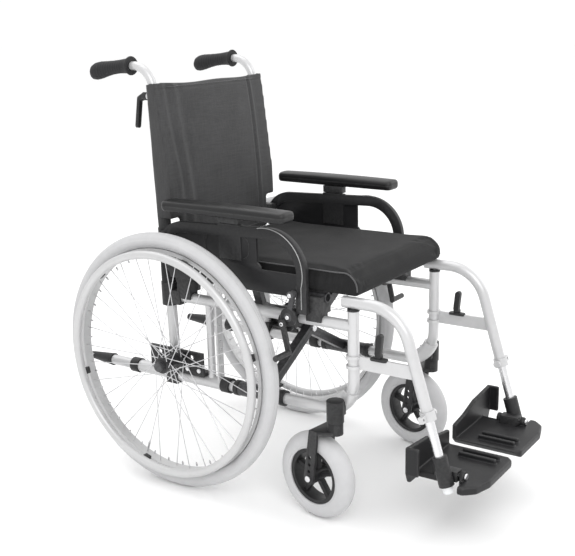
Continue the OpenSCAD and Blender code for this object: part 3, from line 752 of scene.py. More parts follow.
    @classmethod
    def join(cls, name: str, objs: Sequence[Piece]) -> Piece:
        """Joins objects into one piece.

        Args:
            name: the piece's name.
            objs: the objects.

        Returns:
            The piece.
        """
        cls.take(*objs)
        if len(objs) > 1:
            bpy.ops.object.join()
        objs[0].name = name
        return objs[0]


def middle_of(node: str) -> Vector:
    """The middle of a CAD node's box at rest."""
    low, high = (Vector(corner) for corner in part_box(node))
    return (low + high) / 2


def corners_of(node: str) -> tuple[Vector, Vector]:
    """The lowest and highest corner of a CAD node at rest."""
    low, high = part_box(node)
    return Vector(low), Vector(high)


class Assembly:
    """A group of pieces that knows how to dress and hand them over."""

    def finish(
        self, obj: Piece, finish: Finish, body: str | None = None, nodes: Sequence[str] = ()
    ) -> Piece:
        """Gives a piece its material, its body and the nodes it stands for.

        Args:
            obj: the piece.
            finish: its finish.
            body: the CAD body it rides on, or None to leave it unattached.
            nodes: the CAD nodes that it replaces.

        Returns:
            The same piece.
        """
        obj.data.materials.clear()
        obj.data.materials.append(finish.material())
        if body:
            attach(obj, body)
        if nodes:
            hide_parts(*nodes)
        faces = len(obj.data.polygons)
        LOG.info("%s: %s on %s, %d faces", obj.name, finish.name, body or "what bends it", faces)
        return obj


# ----------------------------------------------------------------- soft goods


@dataclass
class SoftGoods(Assembly):
    """The seat cushion, the seat sling and the back upholstery."""

    cushion_voxel: float = 4.5 * MM
    cushion_cap: float = 4 * MM
    back_voxel: float = 4 * MM
    back_cap: float = 5 * MM
    piping: float = 1.5 * MM
    fold_keep: float = 0.375
    sleeve: float = 14.8 * MM
    inset: float = 5 * MM
    nose: float = 20 * MM
    sewn_edge: float = 0.6 * MM
    sling_sag: float = 4 * MM
    sling_hem: float = 16 * MM
    cloth_frames: int = 20
    panel_y: float = 0.2155
    panel_half: float = 0.018
    panel_foot: float = 0.08
    recline: float = 0.085
    pleats: tuple[tuple[float, float, float], ...] = (
        (-0.170, 2.4, 7), (-0.154, -1.8, 6), (-0.137, 3.4, 10),
        (-0.114, -1.6, 9), (0.137, -2.2, 4), (0.146, 1.8, 5),
    )

    def build(self) -> None:
        """Builds the three soft pieces and their trim."""
        self.seat_cushion()
        self.seat_sling()
        self.back_upholstery()

    def swell(
        self, obj: Piece, voxel: float, pressure: float, cap: float, held: Rule
    ) -> None:
        """Remeshes a piece and swells it as filled cloth.

        Args:
            obj: the piece, closed.
            voxel: the remesh size.
            pressure: the cloth's pressure.
            cap: how far a point may move.
            held: takes places and is true where the cloth is pinned.
        """
        Bench.remesh(obj, voxel, 2)
        before = Bench.places(obj)
        group = obj.vertex_groups.new(name="held")
        group.add([int(i) for i in np.nonzero(held(before))[0]], 1.0, "REPLACE")
        cloth = obj.modifiers.new("Cloth", "CLOTH")
        cloth.settings.quality = 4
        cloth.settings.use_pressure = True
        cloth.settings.uniform_pressure_force = pressure
        cloth.settings.effector_weights.gravity = 0.0
        cloth.settings.vertex_group_mass = "held"
        cloth.point_cache.frame_start = 1
        cloth.point_cache.frame_end = self.cloth_frames
        for step in range(1, self.cloth_frames + 1):
            bpy.context.scene.frame_set(step)
        Bench.take(obj)
        bpy.ops.object.modifier_apply(modifier="Cloth")
        obj.vertex_groups.clear()
        bpy.context.scene.frame_set(1)

        def capped(after: np.ndarray) -> np.ndarray:
            """Limits each point's travel."""
            step = after - before
            far = np.linalg.norm(step, axis=1, keepdims=True)
            return before + step * np.minimum(1.0, cap / np.maximum(far, 1e-9))

        Bench.move(obj, capped)
        Bench.apply(obj, "SUBSURF", levels=1, render_levels=1)

    def over_seat(self, obj: Piece) -> None:
        """Puts a piece's place into its mesh.

        Args:
            obj: the piece that lies over both rails.
        """
        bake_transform(obj)

    def seat_cushion(self) -> None:
        """The flat foam cushion with piped edges and gathered sides."""
        low, high = corners_of("seat_cushion")
        nose = self.nose
        inset = Vector((self.inset, self.inset, 1 * MM))
        cushion = Bench.block("seat_cushion_cover", low + inset, high - inset)

        def at_nose(edge: Any) -> bool:
            """True for an edge along the top of the front."""
            return all(v.co.z > high.z - 3 * MM and v.co.y < low.y + 8 * MM for v in edge.verts)

        def on_seat(p: np.ndarray) -> np.ndarray:
            """True where the cover lies on the sling."""
            return p[:, 2] < low.z + 3 * MM

        Bench.open(cushion, everything=False)
        Bench.pick(cushion, Part.EDGE, at_nose)
        bpy.ops.mesh.bevel(offset=nose, segments=1)
        Bench.face_out()
        Bench.shut()
        self.swell(cushion, self.cushion_voxel, 3.0, self.cushion_cap, on_seat)
        half = high.x - 1 * MM

        def gather(p: np.ndarray) -> np.ndarray:
            """Sinks the welts, gathers the sides and keeps the cover in its box."""
            side = np.clip((np.abs(p[:, 0]) - (half - 16 * MM)) / (12 * MM), 0, 1)
            level = np.clip((p[:, 2] - low.z) / (high.z - low.z), 0, 1)
            swing = np.sin(p[:, 1] * 330 + 2.0 * np.sin(p[:, 1] * 61)) * np.sin(math.pi * level) ** 0.7
            near = np.exp(-((p[:, 1] - low.y - 0.09) / 0.09) ** 2) * 0.8 + 0.2
            p[:, 0] -= np.sign(p[:, 0]) * side * (1 + swing) * 1.6 * MM * near
            top = (level > 0.8) * 1.0
            p[:, 2] += top * 0.9 * MM * np.sin(p[:, 0] * 19 + 1.2) * np.sin(p[:, 1] * 16 + 0.5)
            return np.clip(p, np.array([*low]) - 3 * MM, np.array([*high]) + 4 * MM)

        Bench.move(cushion, gather)
        Bench.settle(cushion, 60)
        surface = BVHTree.FromObject(cushion, bpy.context.evaluated_depsgraph_get())
        welts = []
        for x in (-half, half):
            edge = [(x, high.y - 6 * MM, high.z), (x, low.y + nose, high.z)]
            edge += [(x, low.y, high.z - nose * 0.9), (x, low.y, low.z + 4 * MM)]
            welts.append(self.welt(surface, edge))
        welts.append(self.welt(surface, [(-half, high.y, high.z), (half, high.y, high.z)]))
        piping = Bench.join("seat_cushion_piping", welts)
        self.finish(cushion, SEAT_NYLON, nodes=["seat_cushion"])
        self.finish(piping, BINDING)
        for piece in (cushion, piping):
            self.over_seat(piece)

    def welt(self, surface: BVHTree, line: Sequence[tuple[float, float, float]]) -> Piece:
        """Lays piping on a cover, nearest to a line outside it.

        Args:
            surface: the cover's tree.
            line: the line's corners.

        Returns:
            The piping.
        """
        corners = [Vector(corner) for corner in line]
        path = []
        for start, end in zip(corners[:-1], corners[1:]):
            count = max(2, int((end - start).length / (7 * MM)))
            for i in range(count):
                hit, normal, _, _ = surface.find_nearest(start.lerp(end, i / count))
                path.append(hit + normal * self.piping * 0.35)
        for _ in range(3):
            inner = [(a + b * 2 + c) / 4 for a, b, c in zip(path[:-2], path[1:-1], path[2:])]
            path = [path[0], *inner, path[-1]]
        return Bench.tube("cushion_welt", path, self.piping, 8)

    def seat_sling(self) -> None:
        """The nylon sling between the rails, with hems, under the cushion."""
        low, high = corners_of("seat_sling")
        thin = Vector((0, 0, self.sewn_edge))
        sling = Bench.block("seat_sling_sheet", low + thin, high - thin)
        Bench.open(sling)
        bpy.ops.mesh.subdivide(number_cuts=24)
        Bench.shut()
        span = high.x

        def sag(p: np.ndarray) -> np.ndarray:
            """Lets the middle hang a little and raises the sewn hems."""
            p[:, 2] -= self.sling_sag * (1 - (p[:, 0] / span) ** 2)
            hem = np.minimum(np.abs(p[:, 1] - low.y), np.abs(p[:, 1] - high.y)) < self.sling_hem
            p[:, 2] += hem * 0.5 * MM
            return p

        Bench.move(sling, sag)
        Bench.settle(sling, 50)
        self.finish(sling, NYLON, nodes=["seat_sling"])
        self.over_seat(sling)

    def back_upholstery(self) -> None:
        """The padded back panel, sleeved over both canes, with pressed pleats."""
        low, high = corners_of("back_upholstery")
        back = Bench.copy_node("back_upholstery", "back_upholstery_cover")
        anchor = middle_of("right_back_cane")

        def sewn(p: np.ndarray) -> np.ndarray:
            """True round the canes and along the lower hem."""
            return (np.abs(p[:, 0]) > -anchor.x - 22 * MM) | (p[:, 2] < low.z + 60 * MM)

        self.swell(back, self.back_voxel, 2.0, self.back_cap, sewn)

        def press(p: np.ndarray) -> np.ndarray:
            """Presses the folds into the front and the sewn line into the hems."""
            lean_back = (p[:, 2] - low.z - self.panel_foot) * self.recline
            front = p[:, 1] < self.panel_y + self.panel_half + lean_back + 9 * MM
            for place, height, width in self.pleats:
                lean = 0.05 * (p[:, 2] - 0.78) * (place < 0) + 0.002 * np.sin(p[:, 2] * 23 + place * 30)
                p[:, 1] -= front * MM * height * np.exp(-((p[:, 0] - place + lean) / (width * MM)) ** 2)
            p[:, 1] += front * 1.1 * MM * np.sin(p[:, 2] * 21 + p[:, 0] * 7) * np.cos(p[:, 0] * 13)
            hem = np.exp(-((p[:, 2] - (high.z - 13 * MM)) / (2.5 * MM)) ** 2)
            p[:, 1] += front * 1.2 * MM * hem
            p[:, 2] += (p[:, 2] > high.z - 6 * MM) * 1.2 * MM * np.sin(p[:, 0] * 31 + 0.8)
            return np.clip(p, np.array([*low]) - 4 * MM, np.array([*high]) + 4 * MM)

        Bench.move(back, press)
        Bench.settle(back, 60)
        surface = BVHTree.FromObject(back, bpy.context.evaluated_depsgraph_get())
        seams = []
        for level in (high.z - 9 * MM, low.z + 12 * MM):
            path = []
            reach = 0.16 if level > 0.7 else 0.15
            for i in range(61):
                x = -reach + 2 * reach * i / 60
                hit, normal, _, _ = surface.ray_cast(Vector((x, low.y - 0.1, level)), Vector((0, 1, 0)))
                if hit:
                    path.append(hit + normal * 0.2 * MM)
            seams.append(Bench.tube("back_seam", path, 0.8 * MM, 6))
        trim = Bench.join("back_upholstery_stitching", seams)
        self.finish(back, NYLON, nodes=["back_upholstery"])
        self.finish(trim, BINDING)
        for piece in (back, trim):
            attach(piece, "right_frame")
            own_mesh(piece)
        for side in Side:
            self.cane_sleeve(side, low.z + 3 * MM, high.z - 3 * MM)

    def cane_sleeve(self, side: Side, bottom: float, top: float) -> None:
        """Draws the upholstery's sewn sleeve round a back cane.

        Args:
            side: the cane's side.
            bottom: the level of its lower hem.
            top: the level of its upper hem.
        """
        node = f"{side.word}_back_cane"
        tree = BVHTree.FromObject(CAD_NODES[node], bpy.context.evaluated_depsgraph_get())
        low, high = corners_of(node)
        x = (low.x + high.x) / 2
        ends = []
        for level in (bottom + 10 * MM, bottom + 120 * MM):
            front = tree.ray_cast(Vector((x, -1, level)), Vector((0, 1, 0)))[0]
            rear = tree.ray_cast(Vector((x, 1, level)), Vector((0, -1, 0)))[0]
            ends.append(Vector((x, (front.y + rear.y) / 2, level)))
        lean = (ends[1] - ends[0]) / (ends[1].z - ends[0].z)
        steps = 24
        levels = [bottom + (top - bottom) * i / steps for i in range(steps + 1)]
        path = [ends[0] + lean * (level - ends[0].z) for level in levels]
        sleeve = Bench.tube(f"{side.word}_back_sleeve", path, self.sleeve, 24)

        def pucker(p: np.ndarray) -> np.ndarray:
            """Lets the sleeve sit a little loose along its length."""
            slack = 0.5 * MM * np.sin(p[:, 2] * 47 + side.value) * np.sin(p[:, 2] * 19)
            p[:, 1] += (p[:, 1] - (ends[0].y + lean.y * (p[:, 2] - ends[0].z)) > 0) * slack
            return p

        Bench.move(sleeve, pucker)
        Bench.settle(sleeve, 50)
        self.finish(sleeve, NYLON, f"{side.word}_frame")


# -------------------------------------------------------------------- wheels


@dataclass
class DriveWheel(Assembly):
    """A drive wheel's tyre, spoke nipples, valve and handrim. Profiles are in millimetres."""

    side: Side
    tyre_steps: int = 160
    profile_points: int = 64
    groove: float = 1.1 * MM
    grooves: tuple[float, ...] = (0.0, 0.32, -0.32)
    nipples: int = 36
    nipple: Profile = ((0, -3.0), (2.0, -2.6), (2.2, 3), (1.5, 6.5), (0, 7))
    nipple_seat: float = 9 * MM
    valve: Profile = ((0, 0), (3, 0.3), (3, 22), (2.2, 23), (2.2, 31), (0, 32))
    valve_turn: float = 200.0

    def build(self) -> None:
        """Builds the wheel's added pieces."""
        word, body = self.side.word, f"{self.side.word}_wheel"
        low, high = corners_of(f"{word}_wheel_tyre")
        middle = (low + high) / 2
        outer, half = (high.z - low.z) / 2, (high.x - low.x) / 2
        self.finish(self.tyre(middle, outer, half), TYRE, body, [f"{word}_wheel_tyre"])
        self.finish(self.nipple_ring(middle), ALLOY, body)
        rim = f"{word}_handrim"
        ring, tabs = Bench.split_node(rim, f"{rim}_hoop", lambda size, _: size.z > 0.3)
        Bench.settle(ring)
        Bench.soften(tabs, 0.8 * MM)
        tabs.name = f"{word}_handrim_tabs"
        Bench.settle(tabs)
        self.finish(ring, RIM_ALLOY, body, [f"{word}_handrim"])
        self.finish(tabs, MOULDING, body)

    def tyre(self, middle: Vector, outer: float, half: float) -> Piece:
        """Turns the tyre's profile: a round carcass with fine tread grooves.

        Args:
            middle: the wheel's middle.
            outer: the wheel's radius.
            half: half of the tyre's width.

        Returns:
            The tyre.
        """
        profile = []
        heart = outer - half
        for i in range(self.profile_points):
            turn = 2 * math.pi * i / self.profile_points
            across = math.sin(turn)
            out = math.cos(turn)
            in_groove = out > 0.72 and any(abs(across - place) < 0.05 for place in self.grooves)
            at_bead = out > -0.2 and abs(abs(across) - 0.93) < 0.03
            radius = half
            if in_groove:
                radius -= self.groove
            if at_bead:
                radius -= 0.5 * MM
            profile.append((heart + radius * out, radius * across))
        return Bench.ring(f"{self.side.word}_tyre_carcass", profile, middle, Axis.X, self.tyre_steps)

    def nipple_ring(self, middle: Vector) -> Piece:
        """Seats one nipple on the rim's inner face for each spoke, and the valve.

        Args:
            middle: the wheel's middle.

        Returns:
            The nipples and the valve as one piece.
        """
        spokes_low, spokes_high = corners_of(f"{self.side.word}_wheel_spokes")
        reach = (spokes_high.z - spokes_low.z) / 2
        profile = [(r * MM, -z * MM) for r, z in self.nipple]
        first = Bench.ring("nipple", profile, ORIGIN, Axis.Z, 8, closed=False)
        copies = []
        for i in range(self.nipples):
            copy = Bench.link("nipple", first.data.copy())
            turn = Matrix.Rotation(2 * math.pi * (i + 0.5) / self.nipples, 4, "X")
            seat = Matrix.Translation((0, 0, reach - self.nipple_seat))
            copy.matrix_world = Matrix.Translation(middle) @ turn @ seat
            copies.append(copy)
        bpy.data.objects.remove(first)
        profile = [(r * MM, z * MM) for r, z in self.valve]
        valve = Bench.ring("valve", profile, ORIGIN, Axis.Z, 12, closed=False)
        turn = Matrix.Rotation(math.radians(self.valve_turn), 4, "X")
        seat = Matrix.Translation((0, 0, reach - self.valve[-1][1] * MM))
        valve.matrix_world = Matrix.Translation(middle) @ turn @ seat
        copies.append(valve)
        ring = Bench.join(f"{self.side.word}_spoke_nipples", copies)
        Bench.settle(ring)
        return ring


@dataclass
class CasterWheel(Assembly):
    """A front caster's solid tyre. The bead's points are (depth, along) in millimetres."""

    side: Side
    steps: int = 96
    half_width: float = 21.8 * MM
    crown: float = 22 * MM
    bead: Profile = ((35.5, 17), (35, 19.5), (31, 20.5), (30, 21.4))

    def build(self) -> None:
        """Builds the tyre and turns it to the caster's own angle."""
        word = self.side.word
        swing = math.radians(self.swing_angle())
        middle = middle_of(f"{word}_caster_tyre")
        low, high = corners_of(f"{word}_caster_tyre")
        tyre = self.tyre((high.z - low.z) / 2)
        tyre.matrix_world = Matrix.Translation(middle) @ Matrix.Rotation(swing, 4, "Z")
        Bench.settle(tyre)
        self.finish(tyre, TYRE, f"{word}_caster_wheel", [f"{word}_caster_tyre"])

    def swing_angle(self) -> float:
        """The angle in degrees that the caster stands at, from its axle's direction."""
        axis = Vector(JOINTS[f"{self.side.word}_caster_spin"]["axis"])
        if axis.x < 0:
            axis = -axis
        return math.degrees(math.atan2(axis.y, axis.x))

    def tyre(self, outer: float) -> Piece:
        """Turns the solid tyre: a round crown, flat flanks and a bead step.

        Args:
            outer: the tyre's radius.

        Returns:
            The tyre, about the origin.
        """
        points = [(outer - depth * MM, -along * MM) for depth, along in self.bead]
        for degrees in range(-88, 89, 8):
            turn = math.radians(degrees)
            out = outer - self.crown + self.crown * math.cos(turn)
            points.append((out, self.half_width * math.sin(turn)))
        points += [(outer - depth * MM, along * MM) for depth, along in reversed(self.bead)]
        return Bench.ring(f"{self.side.word}_caster_tyre_solid", points, ORIGIN, Axis.X, self.steps)


# --------------------------------------------------------------- hard details


@dataclass
class SoftenedParts(Assembly):
    """Hard CAD parts whose sharp edges are broken as a moulding's are."""

    side: Side
    bevels: tuple[tuple[str, Finish, float], ...] = (
        ("axle_plate", MOULDING, 0.8), ("caster_fork", MOULDING, 1.4), ("caster_hub", MOULDING, 1.2),
        ("brake_lever", LEVER_GREY, 1.0), ("brake_shoe", MOULDING, 1.2), ("hanger_lever", MOULDING, 1.0),
        ("cane_lever", MOULDING, 1.0), ("wheel_hub", STEEL, 0.6), ("foot_bracket", MOULDING, 1.2),
        ("frame_fittings", MOULDING, 1.2), ("arm_panel", MOULDING, 2.0), ("footplate", MOULDING, 2.2),
        ("caster_housing", MOULDING, 0.8),
    )
    fastener: float = 16 * MM
    bend_heart: tuple[float, float, float] = (0.189, -0.1585, 0.327)
    bend_radius: float = 0.080
    saddle_reach: float = 17.9 * MM

    def build(self) -> None:
        """Copies, bevels and dresses each part, with its fasteners bright."""
        for kind, finish, width in self.bevels:
            node = f"{self.side.word}_{kind}"
            slim = 0 if kind == "caster_fork" else 1
            small, body = Bench.split_node(
                node, f"{node}_bolts", lambda size, _: sorted(size)[slim] < self.fastener
            )
            if small:
                Bench.soften(small, 0.5 * MM)
                Bench.settle(small)
                self.finish(small, ALLOY, BODY_OF[node])
            if body:
                body.name = f"{node}_moulded"
                if kind == "caster_housing":
                    self.finish(self.saddle(body, node), LACQUER, BODY_OF[node])
                if kind == "footplate":
                    self.fatten(body)
                else:
                    Bench.soften(body, width * MM, angle=38)
                Bench.settle(body, 38)
                self.finish(body, finish, BODY_OF[node], [node])

    def fatten(self, plate: Piece) -> None:
        """Gives a footplate the full, rounded walls of a thick moulding."""
        Bench.remesh(plate, 1.9 * MM, 5)
        Bench.apply(plate, "DISPLACE", strength=1.0 * MM, mid_level=0.0)

    def saddle(self, housing: Piece, node: str) -> Piece:
        """Parts the saddle that wraps the bent frame tube from its housing.

        Args:
            housing: the housing with its saddle.
            node: the CAD node it came from.

        Returns:
            The saddle, which is lacquered with the frame.
        """
        x, y, z = self.bend_heart
        heart = Vector((self.side.value * x, y, z))

        def wraps(face: Any) -> bool:
            """True for a face within the saddle's wall."""
            gap = face.calc_center_median() - heart
            off_bend = math.hypot(gap.y, gap.z) - self.bend_radius
            return math.hypot(gap.x, off_bend) < self.saddle_reach

        Bench.open(housing, everything=False)
        Bench.pick(housing, Part.FACE, wraps)
        bpy.ops.mesh.separate(type="SELECTED")
        Bench.shut()
        saddle = next(o for o in bpy.context.selected_objects if o is not housing)
        saddle.name = f"{node}_saddle"
        Bench.settle(saddle)
        return saddle


@dataclass
class ArmRest(Assembly):
    """The arm pad with its moulded skin, and the block and post below it."""

    side: Side
    round_over: float = 7 * MM
    corner: float = 11 * MM
    voxel: float = 2.2 * MM

    def build(self) -> None:
        """Builds the pad and its block."""
        node = f"{self.side.word}_arm_pad"
        flat, rest = Bench.split_node(node, f"{node}_skin", lambda size, _: size.y > 0.2)
        pad_low, pad_high = self.pad_box(flat)
        bpy.data.objects.remove(flat)
        pad = Bench.block(f"{node}_skin", pad_low, pad_high)
        Bench.open(pad)
        Bench.pick(pad, Part.EDGE, lambda e: abs(e.verts[0].co.z - e.verts[1].co.z) > 0.01)
        bpy.ops.mesh.bevel(offset=self.corner, segments=5, profile=0.5)
        bpy.ops.mesh.select_all(action="SELECT")
        Bench.shut()
        Bench.soften(pad, self.round_over, 4, 60)
        Bench.open(pad)
        bpy.ops.mesh.quads_convert_to_tris()
        Bench.shut()
        Bench.remesh(pad, self.voxel, 6)
        middle = (pad_low + pad_high) / 2
        half = (pad_high - pad_low) / 2

        def crown(p: np.ndarray) -> np.ndarray:
            """Crowns the top and dishes it towards the rear."""
            across = (p[:, 0] - middle.x) / half.x
            along = (p[:, 1] - middle.y) / half.y
            top = p[:, 2] > middle.z
            p[:, 2] -= top * 2.4 * MM * across ** 2
            p[:, 2] -= top * 2.0 * MM * along ** 2
            parting = np.exp(-((p[:, 2] - pad_low.z - 6 * MM) / (1.2 * MM)) ** 2)
            p[:, 0] -= np.sign(p[:, 0] - middle.x) * parting * (np.abs(across) > 0.9) * 0.7 * MM
            return p

        Bench.move(pad, crown)
        Bench.settle(pad, 60)
        self.finish(pad, PAD_SKIN, f"{self.side.word}_arm_pad", [node])
        Bench.soften(rest, 1.2 * MM)
        rest.name = f"{node}_block"
        Bench.settle(rest)
        self.finish(rest, MOULDING, f"{self.side.word}_arm_pad")

    def pad_box(self, pad: Piece) -> tuple[Vector, Vector]:
        """The corners of the pad alone."""
        corners = [Vector(corner) for corner in pad.bound_box]
        return corners[0], corners[6]


@dataclass
class PushGrip(Assembly):
    """The rubber push grip, with finger rings and an end flange, and its drooping tube.

    The outline and the rings are in millimetres.
    """

    side: Side
    droop: float = 17 * MM
    reach: float = 0.129
    ring_height: float = 0.55
    ring_pitch: float = 7.2
    ringed: tuple[float, float] = (20, 98)
    outline: Profile = (
        (0, 0), (20, 0), (21, 2), (21, 4), (18.5, 8), (16.6, 15), (15.3, 25), (14.7, 40), (15.0, 55),
        (16.2, 72), (18.2, 88), (19.4, 100), (19.2, 108), (17, 116), (12, 121), (6, 122.8), (0, 123),
    )

    def build(self) -> None:
        """Turns the grip's profile about the handle tube."""
        node = f"{self.side.word}_push_grip"
        low, high = corners_of(node)
        middle = Vector(((low.x + high.x) / 2, low.y, (low.z + high.z) / 2))
        profile = []
        first, last = self.ringed
        for (r0, y0), (r1, y1) in zip(self.outline[:-1], self.outline[1:]):
            count = max(1, int((y1 - y0) / 2))
            for i in range(count):
                share = i / count
                along = y0 + (y1 - y0) * share
                wave = math.cos((along - first) * 2 * math.pi / self.ring_pitch)
                ripple = self.ring_height * wave if first < along < last else 0.0
                profile.append(((r0 + (r1 - r0) * share + ripple) * MM, along * MM))
        profile.append((0.0, self.outline[-1][1] * MM))
        grip = Bench.ring(f"{node}_rubber", profile, middle, Axis.Y, 40, closed=False)
        tube_node = f"{self.side.word}_push_tube"
        tube = Bench.copy_node(tube_node, f"{tube_node}_drawn")

        def droop(p: np.ndarray) -> np.ndarray:
            """Droops the handle's end as a hand pushes it."""
            reach = np.maximum(p[:, 1] - low.y + 6 * MM, 0)
            p[:, 2] -= self.droop * (reach / self.reach) ** 1.7
            return p

        Bench.open(grip)
        bpy.ops.mesh.delete_loose()
        Bench.shut()
        for piece in (grip, tube):
            Bench.move(piece, droop)
            Bench.settle(piece, 50)
        self.finish(grip, GRIP, BODY_OF[node], [node])
        self.finish(tube, LACQUER, BODY_OF[tube_node], [tube_node])


@dataclass
class FootTrim(Assembly):
    """The pale cap on the foot of the footrest tube, and the release lever's base plate."""

    side: Side
    length: float = 24 * MM

    def build(self) -> None:
        """Turns the cap and lays it along the tube."""
        node = f"{self.side.word}_foot_tube"
        low, high = corners_of(node)
        radius = (high.x - low.x) / 2
        lean = math.atan2((high.y - low.y) - 2 * radius, high.z - low.z)
        wall = radius + 1.4 * MM
        profile = [
            (0, -1.2 * MM), (radius - 1 * MM, -1.2 * MM), (wall, 0.6 * MM),
            (wall, self.length - 1 * MM), (radius + 0.3 * MM, self.length),
        ]
        cap = Bench.ring(f"{self.side.word}_foot_tube_cap", profile, ORIGIN, Axis.Z, 40, closed=False)
        rise, out = radius * math.sin(lean), radius * math.cos(lean)
        foot = Vector(((low.x + high.x) / 2, low.y + out, low.z + rise))
        cap.matrix_world = Matrix.Translation(foot) @ Matrix.Rotation(-lean, 4, "X")
        Bench.apply(cap, "SOLIDIFY", thickness=0.9 * MM, offset=-1.0)
        Bench.settle(cap)
        self.finish(cap, WHITE_CAP, BODY_OF[node])
        self.lever_base()

    def lever_base(self) -> None:
        """Seats the release lever on its black base plate."""
        node = f"{self.side.word}_hanger_lever"
        low, high = corners_of(node)
        middle = Vector(((low.x + high.x) / 2, (low.y + high.y) / 2, low.z))
        half = Vector((8.5 * MM, 20 * MM, 3 * MM))
        base = Bench.block(f"{self.side.word}_lever_base", middle - half, middle + half)
        Bench.open(base)
        Bench.pick(base, Part.EDGE, lambda e: abs(e.verts[0].co.z - e.verts[1].co.z) > 3 * MM)
        bpy.ops.mesh.bevel(offset=7 * MM, segments=4)
        Bench.shut()
        Bench.soften(base, 1.2 * MM)
        Bench.settle(base)
        self.finish(base, MOULDING, f"{self.side.word}_hanger")


@dataclass
class ArmTrim(Assembly):
    """A light bead round the arm's arch, which paints the highlight along its edge, and the oval border on its
    panel.
    """

    side: Side
    bead: float = 1.1 * MM
    arch_radius: float = 0.0935
    arch_ahead: float = 0.300
    arch_level: float = 0.545
    arch_turn: tuple[float, float] = (78, 196)
    oval_behind: float = 0.105
    oval_level: float = 0.589
    oval_half: tuple[float, float] = (0.060, 0.029)
    panel_depth: float = 3.4 * MM

    def build(self) -> None:
        """Sweeps the highlight bead and the oval."""
        node = f"{self.side.word}_arm_panel"
        low, high = corners_of(node)
        face = low.x if self.side is Side.RIGHT else high.x
        heart = Vector((face, high.y - self.arch_ahead, self.arch_level))
        rest = self.seat_line()
        arch = []
        first, last = self.arch_turn
        for i in range(41):
            turn = math.radians(first + (last - first) * i / 40)
            arch.append(heart + Vector((0, math.cos(turn), math.sin(turn))) * self.arch_radius)
        foot = [Vector((face, arch[-1].y, rest + 0.03)), Vector((face, arch[-1].y, rest))]
        # The bead is a painted highlight: a light tube where the panel's arched rim catches the light.
        bead = Bench.tube(f"{self.side.word}_arm_bead", arch + foot, self.bead, 8)
        self.finish(bead, ARCH_HIGHLIGHT, BODY_OF[node])
        inner = face - self.side.value * self.panel_depth
        middle = Vector((inner, heart.y + self.oval_behind, self.oval_level))
        long, tall = self.oval_half
        oval = []
        for i in range(48):
            turn = 2 * math.pi * i / 48
            across, up = math.cos(turn), math.sin(turn)
            y = math.copysign(abs(across) ** 0.6, across) * long
            z = math.copysign(abs(up) ** 0.7, up) * tall
            oval.append(middle + Vector((0, y, z)))
        border = Bench.tube(f"{self.side.word}_arm_oval", oval, 0.9 * MM, 8, loop=True)
        self.finish(border, MOULDING, BODY_OF[node])

    def seat_line(self) -> float:
        """The level at which the arch's front leg begins."""
        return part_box(f"{self.side.word}_arm_panel")[0][2] + 0.01


@dataclass
class Screws(Assembly):
    """Bright cap screws and the pivot disc on the wheel lock. The disc is in millimetres."""

    side: Side
    lever_screw: tuple[float, float] = (-13 * MM, 52.4 * MM)
    pivot_x: float = 0.227
    shoe_x: float = 0.235
    disc_x: float = 0.2195
    disc: Profile = ((0, 0), (19.5, 0), (20.5, 1), (20.5, 5.5), (18.5, 7), (0, 7.4))
    head: float = 4.6 * MM
    height: float = 3.2 * MM

    def build(self) -> None:
        """Sets a screw in each boss of the lock."""
        word, sign = self.side.word, self.side.value
        lever_low, lever_high = corners_of(f"{word}_brake_lever")
        pivot = Vector(JOINTS[f"{word}_brake_lever"]["pos_m"])
        shoe = Vector(JOINTS[f"{word}_brake_shoe"]["pos_m"])
        outer = max(abs(lever_low.x), abs(lever_high.x))
        back, up = self.lever_screw
        lever_top = Vector((sign * outer, pivot.y + back, pivot.z + up))
        hub = Vector((sign * self.pivot_x, pivot.y, pivot.z))
        self.screw("lock_lever_screw", lever_top, f"{word}_brake_lever")
        self.screw("lock_pivot_screw", hub, f"{word}_brake_lever")
        self.screw("lock_shoe_screw", Vector((sign * self.shoe_x, shoe.y, shoe.z)), f"{word}_brake_shoe")
        profile = [(a * MM, b * MM * sign) for a, b in self.disc]
        seat = Vector((sign * self.disc_x, pivot.y, pivot.z))
        disc = Bench.ring(f"{word}_lock_disc", profile, seat, Axis.X, 40, closed=False)
        self.finish(disc, MOULDING, f"{word}_brake_lever")

    def screw(self, name: str, seat: Vector, body: str) -> None:
        """Turns one socket screw on its seat.

        Args:
            name: the screw's name without its side.
            seat: where the head's underside rests.
            body: the body it rides on.
        """
        r, h = self.head, self.height
        profile = [
            (0, -0.5 * MM), (r, -0.5 * MM), (r, h * 0.8), (r * 0.86, h), (r * 0.52, h),
            (r * 0.48, h * 0.45), (0, h * 0.45),
        ]
        turned = [(out, along * self.side.value) for out, along in profile]
        obj = Bench.ring(f"{self.side.word}_{name}", turned, seat, Axis.X, 24, closed=False)
        self.finish(obj, ALLOY, body)


# --------------------------------------------------------------------- studio


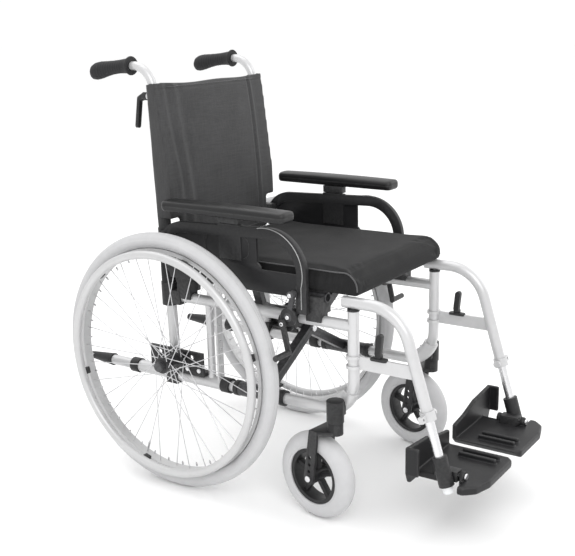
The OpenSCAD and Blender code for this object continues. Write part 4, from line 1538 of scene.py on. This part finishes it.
@dataclass
class Studio:
    """The camera, three soft lights, the pale floor and the white surround."""

    place: tuple[float, float, float] = (-1.88299, -1.25351, 1.07358)
    azimuth: float = -57.08
    elevation: float = 16.71
    roll: float = -0.97
    lens: float = 62.06
    shift: tuple[float, float] = (-0.0573, 0.0557)
    aim: tuple[float, float, float] = (0, 0, 0.4)
    paper: float = 0.96
    surround: float = 1.05

    def camera(self) -> None:
        """Sets the camera at the product's three-quarter view."""
        azimuth, elevation, roll = (math.radians(v) for v in (self.azimuth, self.elevation, self.roll))
        flat = math.cos(elevation)
        back = Vector((math.sin(azimuth) * flat, -math.cos(azimuth) * flat, math.sin(elevation)))
        level = Vector((math.cos(azimuth), math.sin(azimuth), 0))
        up = back.cross(level)
        right = level * math.cos(roll) + up * math.sin(roll)
        top = up * math.cos(roll) - level * math.sin(roll)
        data = bpy.data.cameras.new("three_quarter_view")
        data.sensor_width = 36
        data.lens = self.lens
        data.shift_x, data.shift_y = self.shift
        data.clip_end = 100
        camera = Bench.link("three_quarter_view", data)
        turn = Matrix((right, top, back)).transposed().to_4x4()
        camera.matrix_world = Matrix.Translation(self.place) @ turn
        bpy.context.scene.camera = camera

    def lights(self) -> None:
        """Hangs three large soft lights."""
        rows = (
            ("key", (-2.6, -2.4, 3.2), 3.0, 70.0),
            ("fill", (3.2, -1.8, 2.2), 3.2, 30.0),
            ("top", (0.3, 1.4, 3.6), 3.4, 45.0),
        )
        for name, place, size, power in rows:
            data = bpy.data.lights.new(name, "AREA")
            data.shape = "SQUARE"
            data.size = size
            data.energy = power
            light = Bench.link(name, data)
            aim = Vector(self.aim) - Vector(place)
            turn = aim.to_track_quat("-Z", "Y").to_matrix().to_4x4()
            light.matrix_world = Matrix.Translation(place) @ turn

    def room(self) -> None:
        """Lays the pale floor and the even pale surround."""
        Bench.clear()
        bpy.ops.mesh.primitive_plane_add(size=60, location=(0, 0, -0.0005))
        floor = bpy.context.object
        floor.name = "studio_floor"
        paper = bpy.data.materials.new("studio_paper")
        paper.use_nodes = True
        shader = paper.node_tree.nodes["Principled BSDF"]
        shader.inputs["Base Color"].default_value = (self.paper, self.paper, self.paper, 1)
        shader.inputs["Roughness"].default_value = 0.9
        floor.data.materials.append(paper)
        world = bpy.data.worlds.new("studio_surround")
        world.use_nodes = True
        world.node_tree.nodes["Background"].inputs["Color"].default_value = (1, 1, 1, 1)
        world.node_tree.nodes["Background"].inputs["Strength"].default_value = self.surround
        bpy.context.scene.world = world
        bpy.context.scene.view_settings.view_transform = "Standard"


def dress_nodes() -> None:
    """Gives every CAD node its procedural finish."""
    own = {"wheel_spokes": SPOKE_STEEL, "wheel_rim": RIM_ALLOY, "axle_pin": STEEL}
    for name, node in CAD_NODES.items():
        wanted = "black_plastic"
        if node.data.materials:
            wanted = node.data.materials[0].name.split(".")[0]
        finish = own.get(name.split("_", 1)[-1], CAD_FINISHES.get(wanted, MOULDING))
        if not node.material_slots:
            node.data.materials.append(finish.material())
        for slot in node.material_slots:
            slot.material = finish.material()


def main() -> None:
    """Builds the whole chair in order."""
    logging.basicConfig(level=logging.INFO, format="%(message)s")
    studio = Studio()
    studio.camera()
    studio.lights()
    studio.room()
    dress_nodes()
    SoftGoods().build()
    for side in Side:
        for kind in (DriveWheel, CasterWheel, SoftenedParts, ArmRest, PushGrip, FootTrim, ArmTrim, Screws):
            kind(side).build()
    Bench.clear()


if __name__ == "__main__":
    main()
